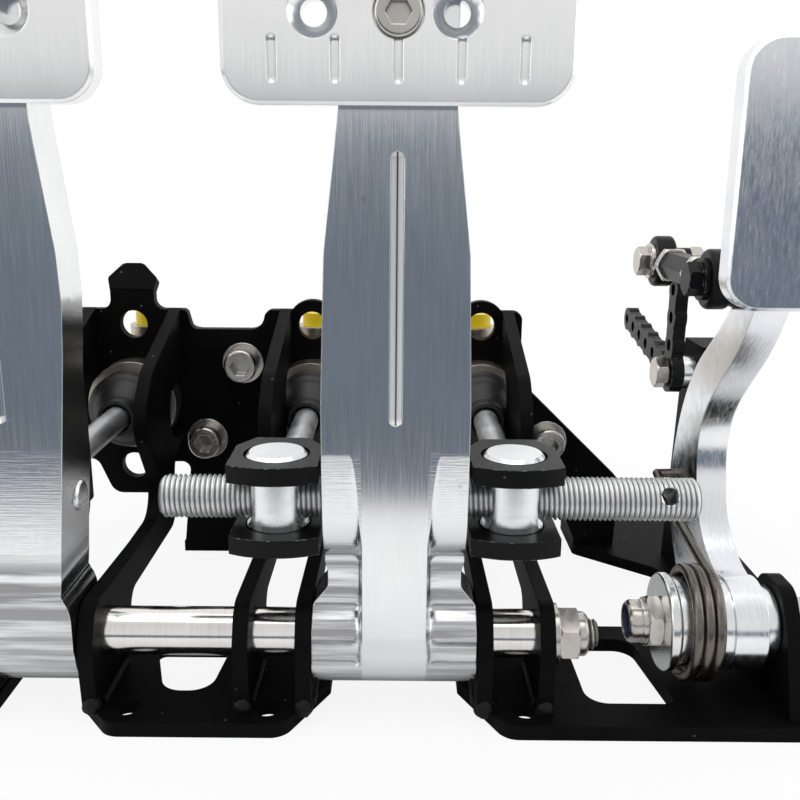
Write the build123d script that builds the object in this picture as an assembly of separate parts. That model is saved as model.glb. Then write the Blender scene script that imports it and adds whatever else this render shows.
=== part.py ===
from build123d import *
import math
import os

# Floor mounted pedal box: clutch, brake and throttle pedals on welded plates,
# three master cylinders on an upright bulkhead and a threaded balance bar.
# Frame: X to the driver's right, Y forward to the bulkhead, Z up from the floor.
# The brake pedal's centre plane is X = 0 and the brake and clutch axis is Y = 0.

# Plates and the pivot shaft, millimetres
sheet = 4.0
pivot_height = 21.0
shaft_diameter = 12.7
shaft_thread_diameter = 8.0
shaft_thread_length = 12.2
lug_radius = 12.2
lug_gap_clearance = 0.3
fit_clearance = 0.05
seat_gap = 0.3
brake_bulge_y = 38.0
clutch_bulge_y = 45.0
window_drop = 1.13

# Brake pedal
hub_width = 42.0
hub_radius = 12.4
arm_front = -13.0
arm_thickness = 14.0
arm_width = 35.4
arm_width_mid = 33.2
arm_width_top = 26.0
arm_mid_height = 122.0
arm_neck_width = 34.0
arm_top_height = 222.0
rib_width = 16.0
cutter_radius = 3.0
bar_rise = 38.0
housing_radius = 11.8
pocket_top = 74.0
pocket_bottom = 19.5
cheek_arc_radius = 17.0
cheek_arc_y = 5.0
neck_front = -5.2
groove_radius = 1.55
groove_bottom = 83.0
groove_top = 142.5

# Brake pad plate
pad_width = 74.4
pad_height = 76.0
pad_bottom = 153.2
pad_thickness = 6.0
pad_corner_radius = 8.0
pad_edge_chamfer = 0.8
slot_count = 5
slot_pitch = 13.2
slot_radius = 1.0
slot_low = 158.6
slot_high = 166.1
pad_row_rise = 18.4
pad_hole_left = -17.7
pad_hole_right = 12.2
pad_hole_diameter = 5.6
countersink_diameter = 10.6
pad_screw_diameter = 6.0
pad_screw_head_diameter = 10.0
pad_screw_head_height = 4.6
pad_screw_length = 16.0

# Balance bar, its bearing and the trunnions
bar_diameter = 11.1125
bar_left = -59.5
bar_right = 77.0
bar_end_chamfer = 1.2
cross_hole_diameter = 4.5
cross_hole_inset = 8.1
ball_radius = 7.9
ball_width = 11.0
sleeve_diameter = 17.4
sleeve_width = 24.0
sleeve_mouth_diameter = 13.8
trunnion_spacing = 60.0
trunnion_diameter = 16.0
trunnion_height = 24.6
trunnion_waist_width = 11.8
trunnion_waist_height = 13.4
trunnion_top_chamfer = 1.1

# Clevises and pushrods
clevis_width = 22.4
clevis_ear = 4.6
clevis_gap = 14.0
clevis_front_reach = 12.8
clevis_front_bow = 2.8
clevis_rear_reach = 13.6
clevis_taper_reach = 6.5
clevis_bridge = 5.6
clevis_neck_width = 14.0
pushrod_diameter = 8.0
pushrod_ball_radius = 4.6

# Bulkhead and the master cylinders
bulkhead_front = 100.0
flange_pitch = 57.15
flange_angle = 29.5
flange_thickness = 8.0
snout_diameter = 31.0
snout_reach = 8.0
barrel_radius = 13.5
barrel_length = 76.0
tail_boss_length = 7.0
bulkhead_margin = 9.6
bore_diameter = 19.05
piston_length = 30.0
piston_front = 99.5
socket_clearance = 0.7
inlet_setback = 20.0
inlet_radius = 8.0
inlet_rise = 24.0
plug_diameter = 11.6
plug_rise = 5.0
outlet_diameter = 10.0
outlet_depth = 12.0
boot_radius = 13.0
boot_reach = 19.0
boot_drum = 8.5
fastener_diameter = 8.0
fastener_washer_diameter = 14.6
fastener_washer_thickness = 1.5
socket_head_diameter = 11.6
socket_head_height = 7.0
hex_across_flats = 13.0
nut_height = 8.0

# Clutch pedal
clutch_x = -93.5
clutch_hub_width = 25.4
clutch_arm_width = 36.0
clutch_tongue_width = 10.0
clutch_pin_length = 33.0

# Throttle pedal, its return spring and pivot
throttle_y = 6.0
throttle_z = 21.7
throttle_arm_left = 88.5
throttle_arm_thickness = 8.6
throttle_hub_right = 101.0
throttle_boss_radius = 11.9
boss_left = 75.0
throttle_nut_height = 5.8
throttle_bolt_diameter = 8.0
throttle_pad_width = 38.0
throttle_pad_height = 62.0
throttle_pad_bottom = 108.0
throttle_pad_thickness = 6.0
spring_wire_diameter = 2.8
spring_mean_radius = 14.4
spring_pitch = 2.86
spring_turns = 2.5
cup_diameter = 26.2
cup_thickness = 3.0

# Throttle linkage: drag link and bell crank
link_x = 85.0
link_height = 112.5
link_front = 24.0
crank_y = 75.0
crank_pivot_height = 76.0
crank_left = 89.5
crank_thickness = 4.0
crank_bead_radius = 4.3
crank_bead_pitch = 9.1
crank_bead_hole_diameter = 4.0
link_bolt_diameter = 5.0
rod_end_radius = 8.0
rod_end_width = 6.0
link_hex_across_flats = 8.0
link_hex_length = 23.0
link_nut_across_flats = 9.6
link_play = 0.75
rod_end_shank = 16.0
link_thread_radius = 2.9
output_arm_reach = 56.0
output_arm_rise = 9.0

# Floor plates
base_front = -16.6
base_rear = 31.0
base_corner_radius = 6.0
floor_hole_diameter = 6.9
floor_hole_y = -9.6

# Worked out from the values above
bar_z = pivot_height + bar_rise
outer_plate_inner_face = 37.2
lug_inner_face = hub_width / 2 + lug_gap_clearance
clutch_lug_half_gap = clutch_hub_width / 2 + lug_gap_clearance
shaft_left = clutch_x - clutch_lug_half_gap - sheet - seat_gap
shaft_right = outer_plate_inner_face + sheet + seat_gap
bolt_dx = flange_pitch / 2 * math.cos(math.radians(flange_angle))
bolt_dz = flange_pitch / 2 * math.sin(math.radians(flange_angle))
bulkhead_rear = bulkhead_front + sheet
box_half_width = bolt_dx + bulkhead_margin - clutch_x
flange_rear = bulkhead_rear + flange_thickness
barrel_tail = flange_rear + barrel_length
boot_front = bulkhead_front - snout_reach - boot_reach
middle_y = (arm_front - pad_thickness + barrel_tail + tail_boss_length) / 2
cylinder_places = {
    "clutch": clutch_x,
    "left": -trunnion_spacing / 2,
    "right": trunnion_spacing / 2,
}

os.makedirs("parts", exist_ok=True)
made = []


def save(name, shape):
    """Write one node, with the origin under the middle of the whole box."""
    placed = Pos(0, -middle_y, 0) * shape
    placed.label = name
    export_step(placed, f"parts/{name}.step")
    made.append(name)


def cyl_x(radius, x0, x1, y=0.0, z=0.0):
    return Pos((x0 + x1) / 2, y, z) * Rot(0, 90, 0) * Cylinder(radius, x1 - x0)


def cyl_y(radius, y0, y1, x=0.0, z=0.0):
    return Pos(x, (y0 + y1) / 2, z) * Rot(90, 0, 0) * Cylinder(radius, y1 - y0)


def cyl_z(radius, z0, z1, x=0.0, y=0.0):
    return Pos(x, y, (z0 + z1) / 2) * Cylinder(radius, z1 - z0)


def block(x0, x1, y0, y1, z0, z1):
    return Pos((x0 + x1) / 2, (y0 + y1) / 2, (z0 + z1) / 2) * Box(x1 - x0, y1 - y0, z1 - z0)


def slab_yz(sketch, x0, x1):
    """Extrude a side profile, drawn in Y and Z, from x0 to x1."""
    return extrude(Plane.YZ.offset(x0) * sketch, x1 - x0)


def slab_xz(sketch, y0, y1):
    """Extrude a front profile, drawn in X and Z, from y0 to y1."""
    return extrude(Plane.XZ.offset(-y0) * sketch, -(y1 - y0))


def slab_xy(sketch, z0, z1):
    """Extrude a plan, drawn in X and Y, from z0 to z1."""
    return extrude(Plane.XY.offset(z0) * sketch, z1 - z0)


def rounded_polygon(corners):
    """A face from corners (a, b, radius); radius 0 keeps the corner sharp."""
    points = [(a, b) for a, b, _ in corners]
    face = make_face(Polyline(*points, close=True))
    for a, b, radius in corners:
        if radius > 0:
            near = face.vertices().sort_by_distance(Vector(a, b, 0))[0]
            face = fillet(near, radius)
    return face


def hexagon(across_flats, height, axis_rotation):
    """A hexagonal prism on its own axis, centred at the origin."""
    prism = extrude(RegularPolygon(across_flats / math.sqrt(3), 6), height / 2, both=True)
    cone = Cylinder(across_flats / math.sqrt(3), height)
    cone = chamfer(cone.edges().filter_by(GeomType.CIRCLE), across_flats * 0.06)
    return axis_rotation * (prism & cone)


def side_plate_profile(bulge):
    """Full side plate: pivot lug, level arm to the rear and the raised bulkhead gusset."""
    top = pivot_height + lug_radius
    face = rounded_polygon([
        (-lug_radius + 1.2, sheet, 0),
        (-lug_radius, pivot_height, 9.0),
        (-7.0, top - 1.2, 7.0),
        (36.0, top - 2.6, 0),
        (bulge + 23.0, top - 2.2, 9.0),
        (bulge - 0.5, pivot_height + 44.0, 12.0),
        (bulge + 14.0, pivot_height + 57.5, 14.0),
        (bulkhead_front, pivot_height + 71.5, 0),
        (bulkhead_front, pivot_height + 27.0, 0),
        (79.5, pivot_height + 22.0, 8.0),
        (79.0, pivot_height, 8.0),
        (24.0, pivot_height, 6.0),
        (16.0, sheet, 0),
    ])
    return face


def low_plate_profile():
    """Inner brake lug: pivot lug and the level arm that runs back under the cylinders."""
    top = pivot_height + lug_radius
    return rounded_polygon([
        (-lug_radius + 1.2, sheet, 0),
        (-lug_radius, pivot_height, 9.0),
        (-7.0, top - 1.2, 7.0),
        (36.0, top - 2.6, 0),
        (bulkhead_front, top - 2.6, 0),
        (bulkhead_front, pivot_height + 2.2, 0),
        (24.0, pivot_height, 6.0),
        (16.0, sheet, 0),
    ])


def snout_window(x0, x1, cylinder_x):
    """Opening in a side plate for a cylinder's snout and its rubber boot."""
    near = min(abs(x0 - cylinder_x), abs(x1 - cylinder_x))
    rise = math.sqrt((snout_diameter / 2 + 0.4) ** 2 - near ** 2)
    front = boot_front + 5.0
    corner = min(rise - 0.5, 9.0)
    bottom = bar_z - rise * window_drop
    window = rounded_polygon([
        (front, bar_z + rise, corner),
        (bulkhead_front + 1, bar_z + rise, 0),
        (bulkhead_front + 1, bottom, 0),
        (front, bottom, corner),
    ])
    return slab_yz(window, x0 - 1, x1 + 1)


def shaft_hole(solid, x0, x1):
    return solid - cyl_x(shaft_diameter / 2 + fit_clearance, x0 - 1, x1 + 1, 0, pivot_height)


def build_side_plates():
    outer = outer_plate_inner_face
    clutch_inner = clutch_lug_half_gap
    full_plates = {
        "clutch_left_plate": (clutch_x - clutch_inner - sheet, clutch_bulge_y, clutch_x),
        "clutch_right_plate": (clutch_x + clutch_inner, clutch_bulge_y, clutch_x),
        "brake_left_plate": (-outer - sheet, brake_bulge_y, -trunnion_spacing / 2),
        "brake_right_plate": (outer, brake_bulge_y, trunnion_spacing / 2),
    }
    for name, (x0, bulge, cylinder_x) in full_plates.items():
        plate = slab_yz(side_plate_profile(bulge), x0, x0 + sheet)
        plate -= snout_window(x0, x0 + sheet, cylinder_x)
        save(name, shaft_hole(plate, x0, x0 + sheet))
    for name, x0 in (("brake_left_lug", -lug_inner_face - sheet), ("brake_right_lug", lug_inner_face)):
        save(name, shaft_hole(slab_yz(low_plate_profile(), x0, x0 + sheet), x0, x0 + sheet))


def build_bulkhead():
    """Upright plate with a lobe over each cylinder, two legs and a tab bent back on the left lobe."""
    shoulder = pivot_height + 71.0
    valley = pivot_height + 64.0
    lobe_half = 8.7
    spacing = trunnion_spacing / 2
    left_edge = -box_half_width
    corners = [
        (left_edge, 36.0, 5.0),
        (-110.0, 36.5, 4.0),
        (-104.5, 23.2, 5.0),
        (-86.0, 23.2, 5.0),
        (-83.0, 35.5, 3.0),
        (-75.5, 35.5, 3.0),
        (-79.5, 0.0, 0),
        (-58.0, 0.0, 0),
        (-56.0, 23.2, 6.0),
        (60.0, 23.2, 8.0),
        (68.0, sheet, 0),
        (82.0, sheet, 0),
        (83.0, 29.5, 6.0),
        (44.5, 67.0, 6.0),
        (44.5, shoulder, 3.0),
        (spacing + 9.5, shoulder, 3.0),
        (-spacing - 9.5, shoulder, 3.0),
        (-46.5, shoulder, 3.0),
        (-48.0, valley, 5.0),
        (-72.8, valley, 2.5),
        (-74.6, shoulder, 2.0),
        (clutch_x + 11.0, shoulder, 0),
        (clutch_x - 11.0, shoulder, 0),
        (left_edge, shoulder, 5.0),
    ]
    face = rounded_polygon(corners)
    for x in (-spacing, spacing):
        face += Pos(x, shoulder - 5.4) * Circle(9.0)
    neck_top = pivot_height + 78.5
    neck = rounded_polygon([
        (clutch_x - 11.5, shoulder, 0),
        (clutch_x - lobe_half + 1.0, shoulder, 3.5),
        (clutch_x - lobe_half + 1.0, neck_top, 0),
        (clutch_x + lobe_half - 1.0, neck_top, 0),
        (clutch_x + lobe_half - 1.0, shoulder, 3.5),
        (clutch_x + 11.5, shoulder, 0),
        (clutch_x + 11.5, shoulder - 6, 0),
        (clutch_x - 11.5, shoulder - 6, 0),
    ])
    face += neck
    for x in cylinder_places.values():
        face -= Pos(x, bar_z) * Circle(snout_diameter / 2 + seat_gap)
        face -= Pos(x, pivot_height + 65.6) * Circle(4.9)
        for side in (-1, 1):
            face -= Pos(x - side * bolt_dx, bar_z + side * bolt_dz) * Circle(fastener_diameter / 2 + 0.2)
    face -= Pos(-96.2, 34.0) * Circle(4.8)
    plate = slab_xz(face, bulkhead_front, bulkhead_rear)
    tab_profile = rounded_polygon([
        (-lobe_half + 1.0, -0.5, 0),
        (-lobe_half, 3.8, 1.5),
        (-3.5, 9.4, 3.0),
        (3.5, 9.4, 3.0),
        (lobe_half, 3.8, 1.5),
        (lobe_half - 1.0, -0.5, 0),
    ])
    lean = Pos(clutch_x, bulkhead_front, neck_top) * Rot(-28, 0, 0)
    tab = lean * slab_xz(tab_profile, 0, sheet)
    plate += tab
    foot = slab_xy(rounded_polygon([
        (-79.5, bulkhead_front, 0),
        (-58.0, bulkhead_front, 0),
        (-58.0, bulkhead_front + 26.0, 6.0),
        (-79.5, bulkhead_front + 26.0, 6.0),
    ]), 0, sheet)
    foot -= cyl_z(floor_hole_diameter / 2, -1, sheet + 1, -68.7, bulkhead_front + 15.0)
    plate += foot
    save("bulkhead", plate)


def build_floor_plates():
    """Laser cut floor plates with windows and fixing holes."""
    left_x0 = clutch_x + clutch_lug_half_gap - 1.5
    left = rounded_polygon([
        (left_x0, base_rear, 3.0),
        (left_x0, -5.5, 4.0),
        (-73.0, base_front, 6.0),
        (-28.0, base_front, 6.0),
        (-17.3, 4.0, 2.0),
        (-17.3, base_rear, 3.0),
    ])
    left -= rounded_polygon([
        (-69.5, 22.5, 2.0),
        (-62.0, -1.5, 6.5),
        (-49.5, -1.5, 6.5),
        (-47.5, 22.5, 2.0),
    ])
    right = rounded_polygon([
        (17.5, base_rear, 3.0),
        (17.5, 4.5, 2.0),
        (28.5, base_front, 6.0),
        (box_half_width, base_front, 6.0),
        (box_half_width, 36.0, 3.0),
        (60.0, 36.0, 3.0),
    ])
    right -= rounded_polygon([
        (50.8, 28.0, 6.0),
        (51.3, -6.0, 6.0),
        (74.8, -6.0, 3.0),
        (70.5, 28.0, 6.0),
    ])
    clutch = rounded_polygon([
        (clutch_x - clutch_lug_half_gap + 1.5, base_rear, 3.0),
        (left_edge_of_clutch_base(), base_rear, 5.0),
        (left_edge_of_clutch_base(), base_front, 5.0),
        (clutch_x - clutch_lug_half_gap - 4.5, base_front, 4.0),
        (clutch_x - clutch_lug_half_gap + 1.5, -5.5, 2.0),
    ])
    plates = {
        "left_base_plate": (left, [-69.4, -32.8]),
        "right_base_plate": (right, [34.2, 112.0]),
        "clutch_base_plate": (clutch, [clutch_x - clutch_lug_half_gap - 12.0]),
    }
    for name, (outline, holes) in plates.items():
        for x in holes:
            outline -= Pos(x, floor_hole_y) * Circle(floor_hole_diameter / 2)
        save(name, slab_xy(outline, 0, sheet))
    rear = rounded_polygon([
        (67.0, 130.0, 5.0),
        (67.0, 100.0, 3.0),
        (92.0, 79.5, 4.0),
        (98.0, 66.0, 4.0),
        (box_half_width - 2.0, 66.0, 5.0),
        (box_half_width - 2.0, 130.0, 5.0),
    ])
    for x, y in ((117.0, 97.0), (76.0, 121.0), (117.0, 121.0)):
        rear -= Pos(x, y) * Circle(floor_hole_diameter / 2)
    save("rear_foot_plate", slab_xy(rear, 0, sheet))


def left_edge_of_clutch_base():
    return clutch_x - clutch_lug_half_gap - 22.0


def build_shaft():
    """Ground pivot shaft with a smaller threaded end on each side."""
    shaft = cyl_x(shaft_diameter / 2, shaft_left, shaft_right, 0, pivot_height)
    ends = cyl_x(shaft_thread_diameter / 2, shaft_left - shaft_thread_length,
                 shaft_right + shaft_thread_length, 0, pivot_height)
    ends = chamfer(ends.edges().filter_by(GeomType.CIRCLE), 0.8)
    save("pivot_shaft", shaft + ends)
    washers = []
    nuts = []
    for x, way in ((shaft_left, -1), (shaft_right, 1)):
        near, far = sorted((x, x + way * fastener_washer_thickness))
        washer = cyl_x(8.0, near, far, 0, pivot_height)
        washers.append(washer - cyl_x(shaft_thread_diameter / 2 + fit_clearance, near - 1, far + 1,
                                      0, pivot_height))
        nuts.append(locknut(x + way * (fastener_washer_thickness + 0.02), way, 0, pivot_height))
    save("shaft_washers", Compound(children=washers))
    save("shaft_nuts", Compound(children=nuts))


def locknut(x, way, y, z, height=nut_height):
    """Nylon insert nut whose flat face is at x and whose collar points the way given."""
    hex_height = height * 0.66
    body = Pos(hex_height / 2, 0, 0) * hexagon(hex_across_flats, hex_height, Rot(0, 90, 0))
    collar = cyl_x(hex_across_flats / 2 - 0.7, hex_height - 0.5, height)
    collar = fillet(collar.edges().filter_by(GeomType.CIRCLE).sort_by(Axis.X)[-1], 1.2)
    nut = body + collar - cyl_x(shaft_thread_diameter / 2 + fit_clearance, -1, height + 1)
    turn = Rot(0, 0, 0) if way > 0 else Rot(0, 0, 180)
    return Pos(x, y, z) * turn * nut


def pocket_path():
    """Corner points of the ball cutter's centre line beside the rib, from top to bottom."""
    reach = cheek_arc_radius + cutter_radius
    lane = neck_front - cutter_radius
    hub_reach = hub_radius - 1.4 + cutter_radius
    top_gap = arm_front - cutter_radius - cheek_arc_y
    rise = pocket_top - bar_z
    length = math.sqrt(top_gap ** 2 + rise ** 2 - reach ** 2)
    tangent = math.atan2(rise, top_gap) + math.atan2(length, reach)
    touch = (cheek_arc_y + reach * math.cos(tangent), bar_z + reach * math.sin(tangent))
    start = (arm_front - cutter_radius, pocket_top)
    over = 1.6
    start = (start[0] + (start[0] - touch[0]) * over, start[1] + (start[1] - touch[1]) * over)
    corner_high = (lane, bar_z - math.sqrt(reach ** 2 - (lane - cheek_arc_y) ** 2))
    corner_low = (lane, pivot_height + math.sqrt(hub_reach ** 2 - lane ** 2))
    end_rise = pocket_bottom - pivot_height
    end = (-math.sqrt(hub_reach ** 2 - end_rise ** 2), pocket_bottom)
    return start, touch, corner_high, corner_low, end, reach, hub_reach


def arc_middle(centre, a, b, radius):
    """The point of an arc half way between a and b, seen from its centre."""
    mid = ((a[0] + b[0]) / 2 - centre[0], (a[1] + b[1]) / 2 - centre[1])
    size = math.hypot(*mid)
    return centre[0] + mid[0] / size * radius, centre[1] + mid[1] / size * radius


def pocket_cutter():
    """Milled pocket on the right of the rib: a swept ball along the rib and a flat floor beyond."""
    start, touch, high, low, end, reach, hub_reach = pocket_path()
    bar_centre = (cheek_arc_y, bar_z)
    hub_centre = (0.0, pivot_height)
    far = -40.0
    upper = arc_middle(bar_centre, touch, high, reach)
    lower = arc_middle(hub_centre, low, end, hub_reach)
    outer = make_face([
        Line(start, touch),
        ThreePointArc(touch, upper, high),
        Line(high, low),
        ThreePointArc(low, lower, end),
        Polyline(end, (far, end[1]), (far, start[1]), start),
    ])
    wall = rib_width / 2
    lane = wall + cutter_radius
    cutter = slab_yz(outer, wall, lane + 0.01)
    cutter += slab_yz(offset(outer, cutter_radius, kind=Kind.ARC), lane, hub_width)
    cutter += ball_run(lane, start, touch)
    cutter += ball_run(lane, high, low)
    cutter += ball_turn(lane, bar_centre, reach, touch, high)
    cutter += ball_turn(lane, hub_centre, hub_reach, low, end)
    for y, z in (touch, high, low, end):
        cutter += Pos(lane, y, z) * Sphere(cutter_radius)
    return cutter


def ball_run(x, a, b):
    """Cutter path along a straight line."""
    plane = Plane(origin=(x, a[0], a[1]), z_dir=(0, b[0] - a[0], b[1] - a[1]))
    return extrude(plane * Circle(cutter_radius), math.hypot(b[0] - a[0], b[1] - a[1]))


def ball_turn(x, centre, radius, a, b):
    """Cutter path along an arc about an axis parallel to X."""
    start = math.degrees(math.atan2(a[1] - centre[1], a[0] - centre[0]))
    sweep_angle = math.degrees(math.atan2(b[1] - centre[1], b[0] - centre[0])) - start
    sweep_angle = (sweep_angle + 180) % 360 - 180
    axis = Axis((x, centre[0], centre[1]), (1, 0, 0))
    radial = (0, math.cos(math.radians(start)), math.sin(math.radians(start)))
    origin = (x, centre[0] + radius * radial[1], centre[1] + radius * radial[2])
    plane = Plane(origin=origin, x_dir=radial, z_dir=(0, -radial[2], radial[1]))
    way = 1 if sweep_angle > 0 else -1
    return revolve(plane * Circle(cutter_radius), axis if way > 0 else axis.reverse(), abs(sweep_angle))


def brake_arm_side():
    """Side view of the billet arm: hub, bar housing and the straight blade."""
    rear = arm_front + arm_thickness
    rib_base = pivot_height
    blade = rounded_polygon([
        (arm_front, rib_base + 5.0, 0),
        (-hub_radius + 0.05, rib_base, 0),
        (0.0, rib_base, 0),
        (hub_radius - 4.0, pivot_height + 8.6, 0),
        (7.0, bar_z - 10.0, 0),
        (housing_radius, bar_z, 0),
        (housing_radius - 1.0, bar_z + 8.0, 8.0),
        (rear, bar_z + 34.0, 14.0),
        (rear, arm_top_height, 0),
        (arm_front, arm_top_height, 0),
    ])
    blade += Pos(0, pivot_height) * Circle(hub_radius)
    blade += Pos(0, bar_z) * Circle(housing_radius)
    return blade


def brake_arm_front():
    """Front view of the arm: wide hub, necks, bar housing and the tapered blade."""
    right = [
        (hub_width / 2, 6.0, 0),
        (hub_width / 2, pivot_height + 10.5, 3.0),
        (arm_neck_width / 2, pivot_height + 15.5, 3.0),
        (arm_neck_width / 2, bar_z - 18.0, 1.2),
        (arm_width / 2, bar_z - 15.5, 1.2),
        (arm_width / 2, bar_z + 27.0, 30.0),
        (arm_width_mid / 2, arm_mid_height, 30.0),
        (arm_width_top / 2, pad_bottom, 10.0),
        (arm_width_top / 2, arm_top_height, 6.0),
    ]
    left = [(-x, z, radius) for x, z, radius in reversed(right)]
    return rounded_polygon(right + left)


def build_brake_arm():
    """One machined billet: rib and hub, side pockets, bar housing, groove and bores."""
    arm = slab_yz(brake_arm_side(), -hub_width / 2, hub_width / 2)
    arm &= slab_xz(brake_arm_front(), -40, 40)
    cutter = pocket_cutter()
    arm -= cutter
    arm -= mirror(cutter, Plane.YZ)
    arm -= cyl_x(shaft_diameter / 2 + 1.6, -hub_width, hub_width, 0, pivot_height)
    arm -= cyl_x(sleeve_diameter / 2 + fit_clearance, -hub_width, hub_width, 0, bar_z)
    groove_y = arm_front - 0.25
    arm -= cyl_z(groove_radius, groove_bottom, groove_top, 0, groove_y)
    for z in (groove_bottom, groove_top):
        arm -= Pos(0, groove_y, z) * Sphere(groove_radius)
    for z in pad_screw_heights():
        depth = pad_screw_length - pad_thickness + pad_screw_head_height + 1.5
        arm -= cyl_y(pad_screw_diameter / 2 + fit_clearance, arm_front - 1, arm_front + depth, 0, z)
    save("brake_arm", arm)


def pad_screw_heights():
    low = pad_bottom + pad_row_rise
    return low, pad_bottom + pad_height - pad_row_rise


def pad_plate(x, width, height, bottom, thickness, front):
    """Pedal pad with rounded corners and chamfered edges."""
    plate = Pos(x, front + thickness / 2, bottom + height / 2) * Box(width, thickness, height)
    plate = fillet(plate.edges().filter_by(Axis.Y), pad_corner_radius)
    face = plate.faces().sort_by(Axis.Y)[0]
    return chamfer(face.edges(), pad_edge_chamfer)


def drill_pad(plate, x, rows, front):
    """Countersunk holes beside a counterbored screw seat in each row."""
    seat = pad_screw_head_diameter / 2 + 0.4
    for z in rows:
        for hole in (x + pad_hole_left, x + pad_hole_right):
            plate -= cyl_y(pad_hole_diameter / 2, front - 1, front + 20, hole, z)
            sink = countersink_diameter / 2
            depth = sink - pad_hole_diameter / 2
            cone = Cone(sink, pad_hole_diameter / 2, depth)
            plate -= Pos(hole, front + depth / 2, z) * Rot(-90, 0, 0) * cone
        plate -= cyl_y(pad_screw_diameter / 2 + 0.15, front - 1, front + 20, x, z)
        plate -= cyl_y(seat, front - 1, front + pad_screw_head_height - 0.8, x, z)
    return plate


def build_brake_pad():
    front = arm_front - pad_thickness
    rows = pad_screw_heights()
    plate = pad_plate(0, pad_width, pad_height, pad_bottom, pad_thickness, front)
    plate = drill_pad(plate, 0, rows, front)
    for i in range(slot_count):
        x = (i - (slot_count - 1) / 2) * slot_pitch
        for low, high in ((slot_low, slot_high), mirrored_slot()):
            plate -= cyl_z(slot_radius, low, high, x, front)
            for z in (low, high):
                plate -= Pos(x, front, z) * Sphere(slot_radius)
    save("brake_pad", plate)
    save("brake_pad_screws", Compound(children=[socket_screw(0, front, z) for z in rows]))


def mirrored_slot():
    middle = pad_bottom + pad_height / 2
    return 2 * middle - slot_high, 2 * middle - slot_low


def socket_screw(x, front, z):
    """Pad screw with a hexagon socket, its head sunk in the pad."""
    seat = front + pad_screw_head_height - 0.8
    head = cyl_y(pad_screw_head_diameter / 2, seat - pad_screw_head_height, seat, x, z)
    head = fillet(head.edges().filter_by(GeomType.CIRCLE).sort_by(Axis.Y)[0], 0.7)
    shank = cyl_y(pad_screw_diameter / 2, seat - 0.5, seat + pad_screw_length, x, z)
    socket = Pos(x, seat - pad_screw_head_height, z) * hexagon_socket(5.0, 3.0)
    return head + shank - socket


def hexagon_socket(across_flats, depth):
    """Cutter for a hexagon socket that opens towards the driver."""
    return Rot(90, 0, 0) * extrude(RegularPolygon(across_flats / math.sqrt(3), 6), depth, both=True)


def build_bushes():
    """Thin bronze bushes pressed into the pedal hubs."""
    for name, x, width in (("brake_bushes", 0.0, hub_width), ("clutch_bushes", clutch_x, clutch_hub_width)):
        half = width / 2
        bushes = []
        for side in (-1, 1):
            near, far = sorted((x + side * (half - 9.0), x + side * (half + 0.1)))
            bush = cyl_x(shaft_diameter / 2 + 1.55, near, far, 0, pivot_height)
            bushes.append(bush - cyl_x(shaft_diameter / 2 + fit_clearance, near - 1, far + 1,
                                       0, pivot_height))
        save(name, Compound(children=bushes))


def build_balance_bar():
    """Threaded bar, the ball it runs through and the sleeve that carries the ball."""
    bar = cyl_x(bar_diameter / 2, bar_left, bar_right, 0, bar_z)
    bar = chamfer(bar.edges().filter_by(GeomType.CIRCLE), bar_end_chamfer)
    hole_x = bar_right - cross_hole_inset
    turn = Pos(hole_x, 0, bar_z) * Rot(62, 0, 0)
    bar -= turn * Cylinder(cross_hole_diameter / 2, bar_diameter + 4)
    save("balance_bar", bar)
    ball = Pos(0, 0, bar_z) * Sphere(ball_radius)
    ball &= block(-ball_width / 2, ball_width / 2, -20, 20, bar_z - 20, bar_z + 20)
    ball -= cyl_x(bar_diameter / 2 + fit_clearance, -ball_width, ball_width, 0, bar_z)
    save("bearing_ball", ball)
    sleeve = cyl_x(sleeve_diameter / 2, -sleeve_width / 2, sleeve_width / 2, 0, bar_z)
    sleeve -= cyl_x(sleeve_mouth_diameter / 2, -sleeve_width, sleeve_width, 0, bar_z)
    sleeve -= Pos(0, 0, bar_z) * Sphere(ball_radius + fit_clearance)
    save("bar_sleeve", sleeve)


def trunnion(x):
    """Cross pin with two flats at its waist; the bar is screwed through it."""
    half = trunnion_height / 2
    pin = cyl_z(trunnion_diameter / 2, bar_z - half, bar_z + half, x, 0)
    pin = chamfer(pin.edges().filter_by(GeomType.CIRCLE), trunnion_top_chamfer)
    waist = trunnion_waist_height / 2
    for side in (-1, 1):
        flat = trunnion_waist_width / 2
        cut = Box(10, 40, 2 * waist)
        cut = fillet(cut.edges().filter_by(Axis.Y), 1.6)
        pin -= Pos(x + side * (flat + 5), 0, bar_z) * cut
    return pin - cyl_x(bar_diameter / 2 + fit_clearance, x - 12, x + 12, 0, bar_z)


def clevis_plan(x):
    """Plan of an ear: bowed front, straight sides and tapered rear corners."""
    half = clevis_width / 2
    nose = -clevis_front_reach
    rear = clevis_rear_reach
    side_rear = clevis_taper_reach
    neck = clevis_neck_width / 2
    outline = make_face([
        ThreePointArc((x - half, nose + clevis_front_bow), (x, nose), (x + half, nose + clevis_front_bow)),
        Line((x + half, nose + clevis_front_bow), (x + half, side_rear)),
        Line((x + half, side_rear), (x + neck, rear)),
        Line((x + neck, rear), (x - neck, rear)),
        Line((x - neck, rear), (x - half, side_rear)),
        Line((x - half, side_rear), (x - half, nose + clevis_front_bow)),
    ])
    return outline


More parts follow.
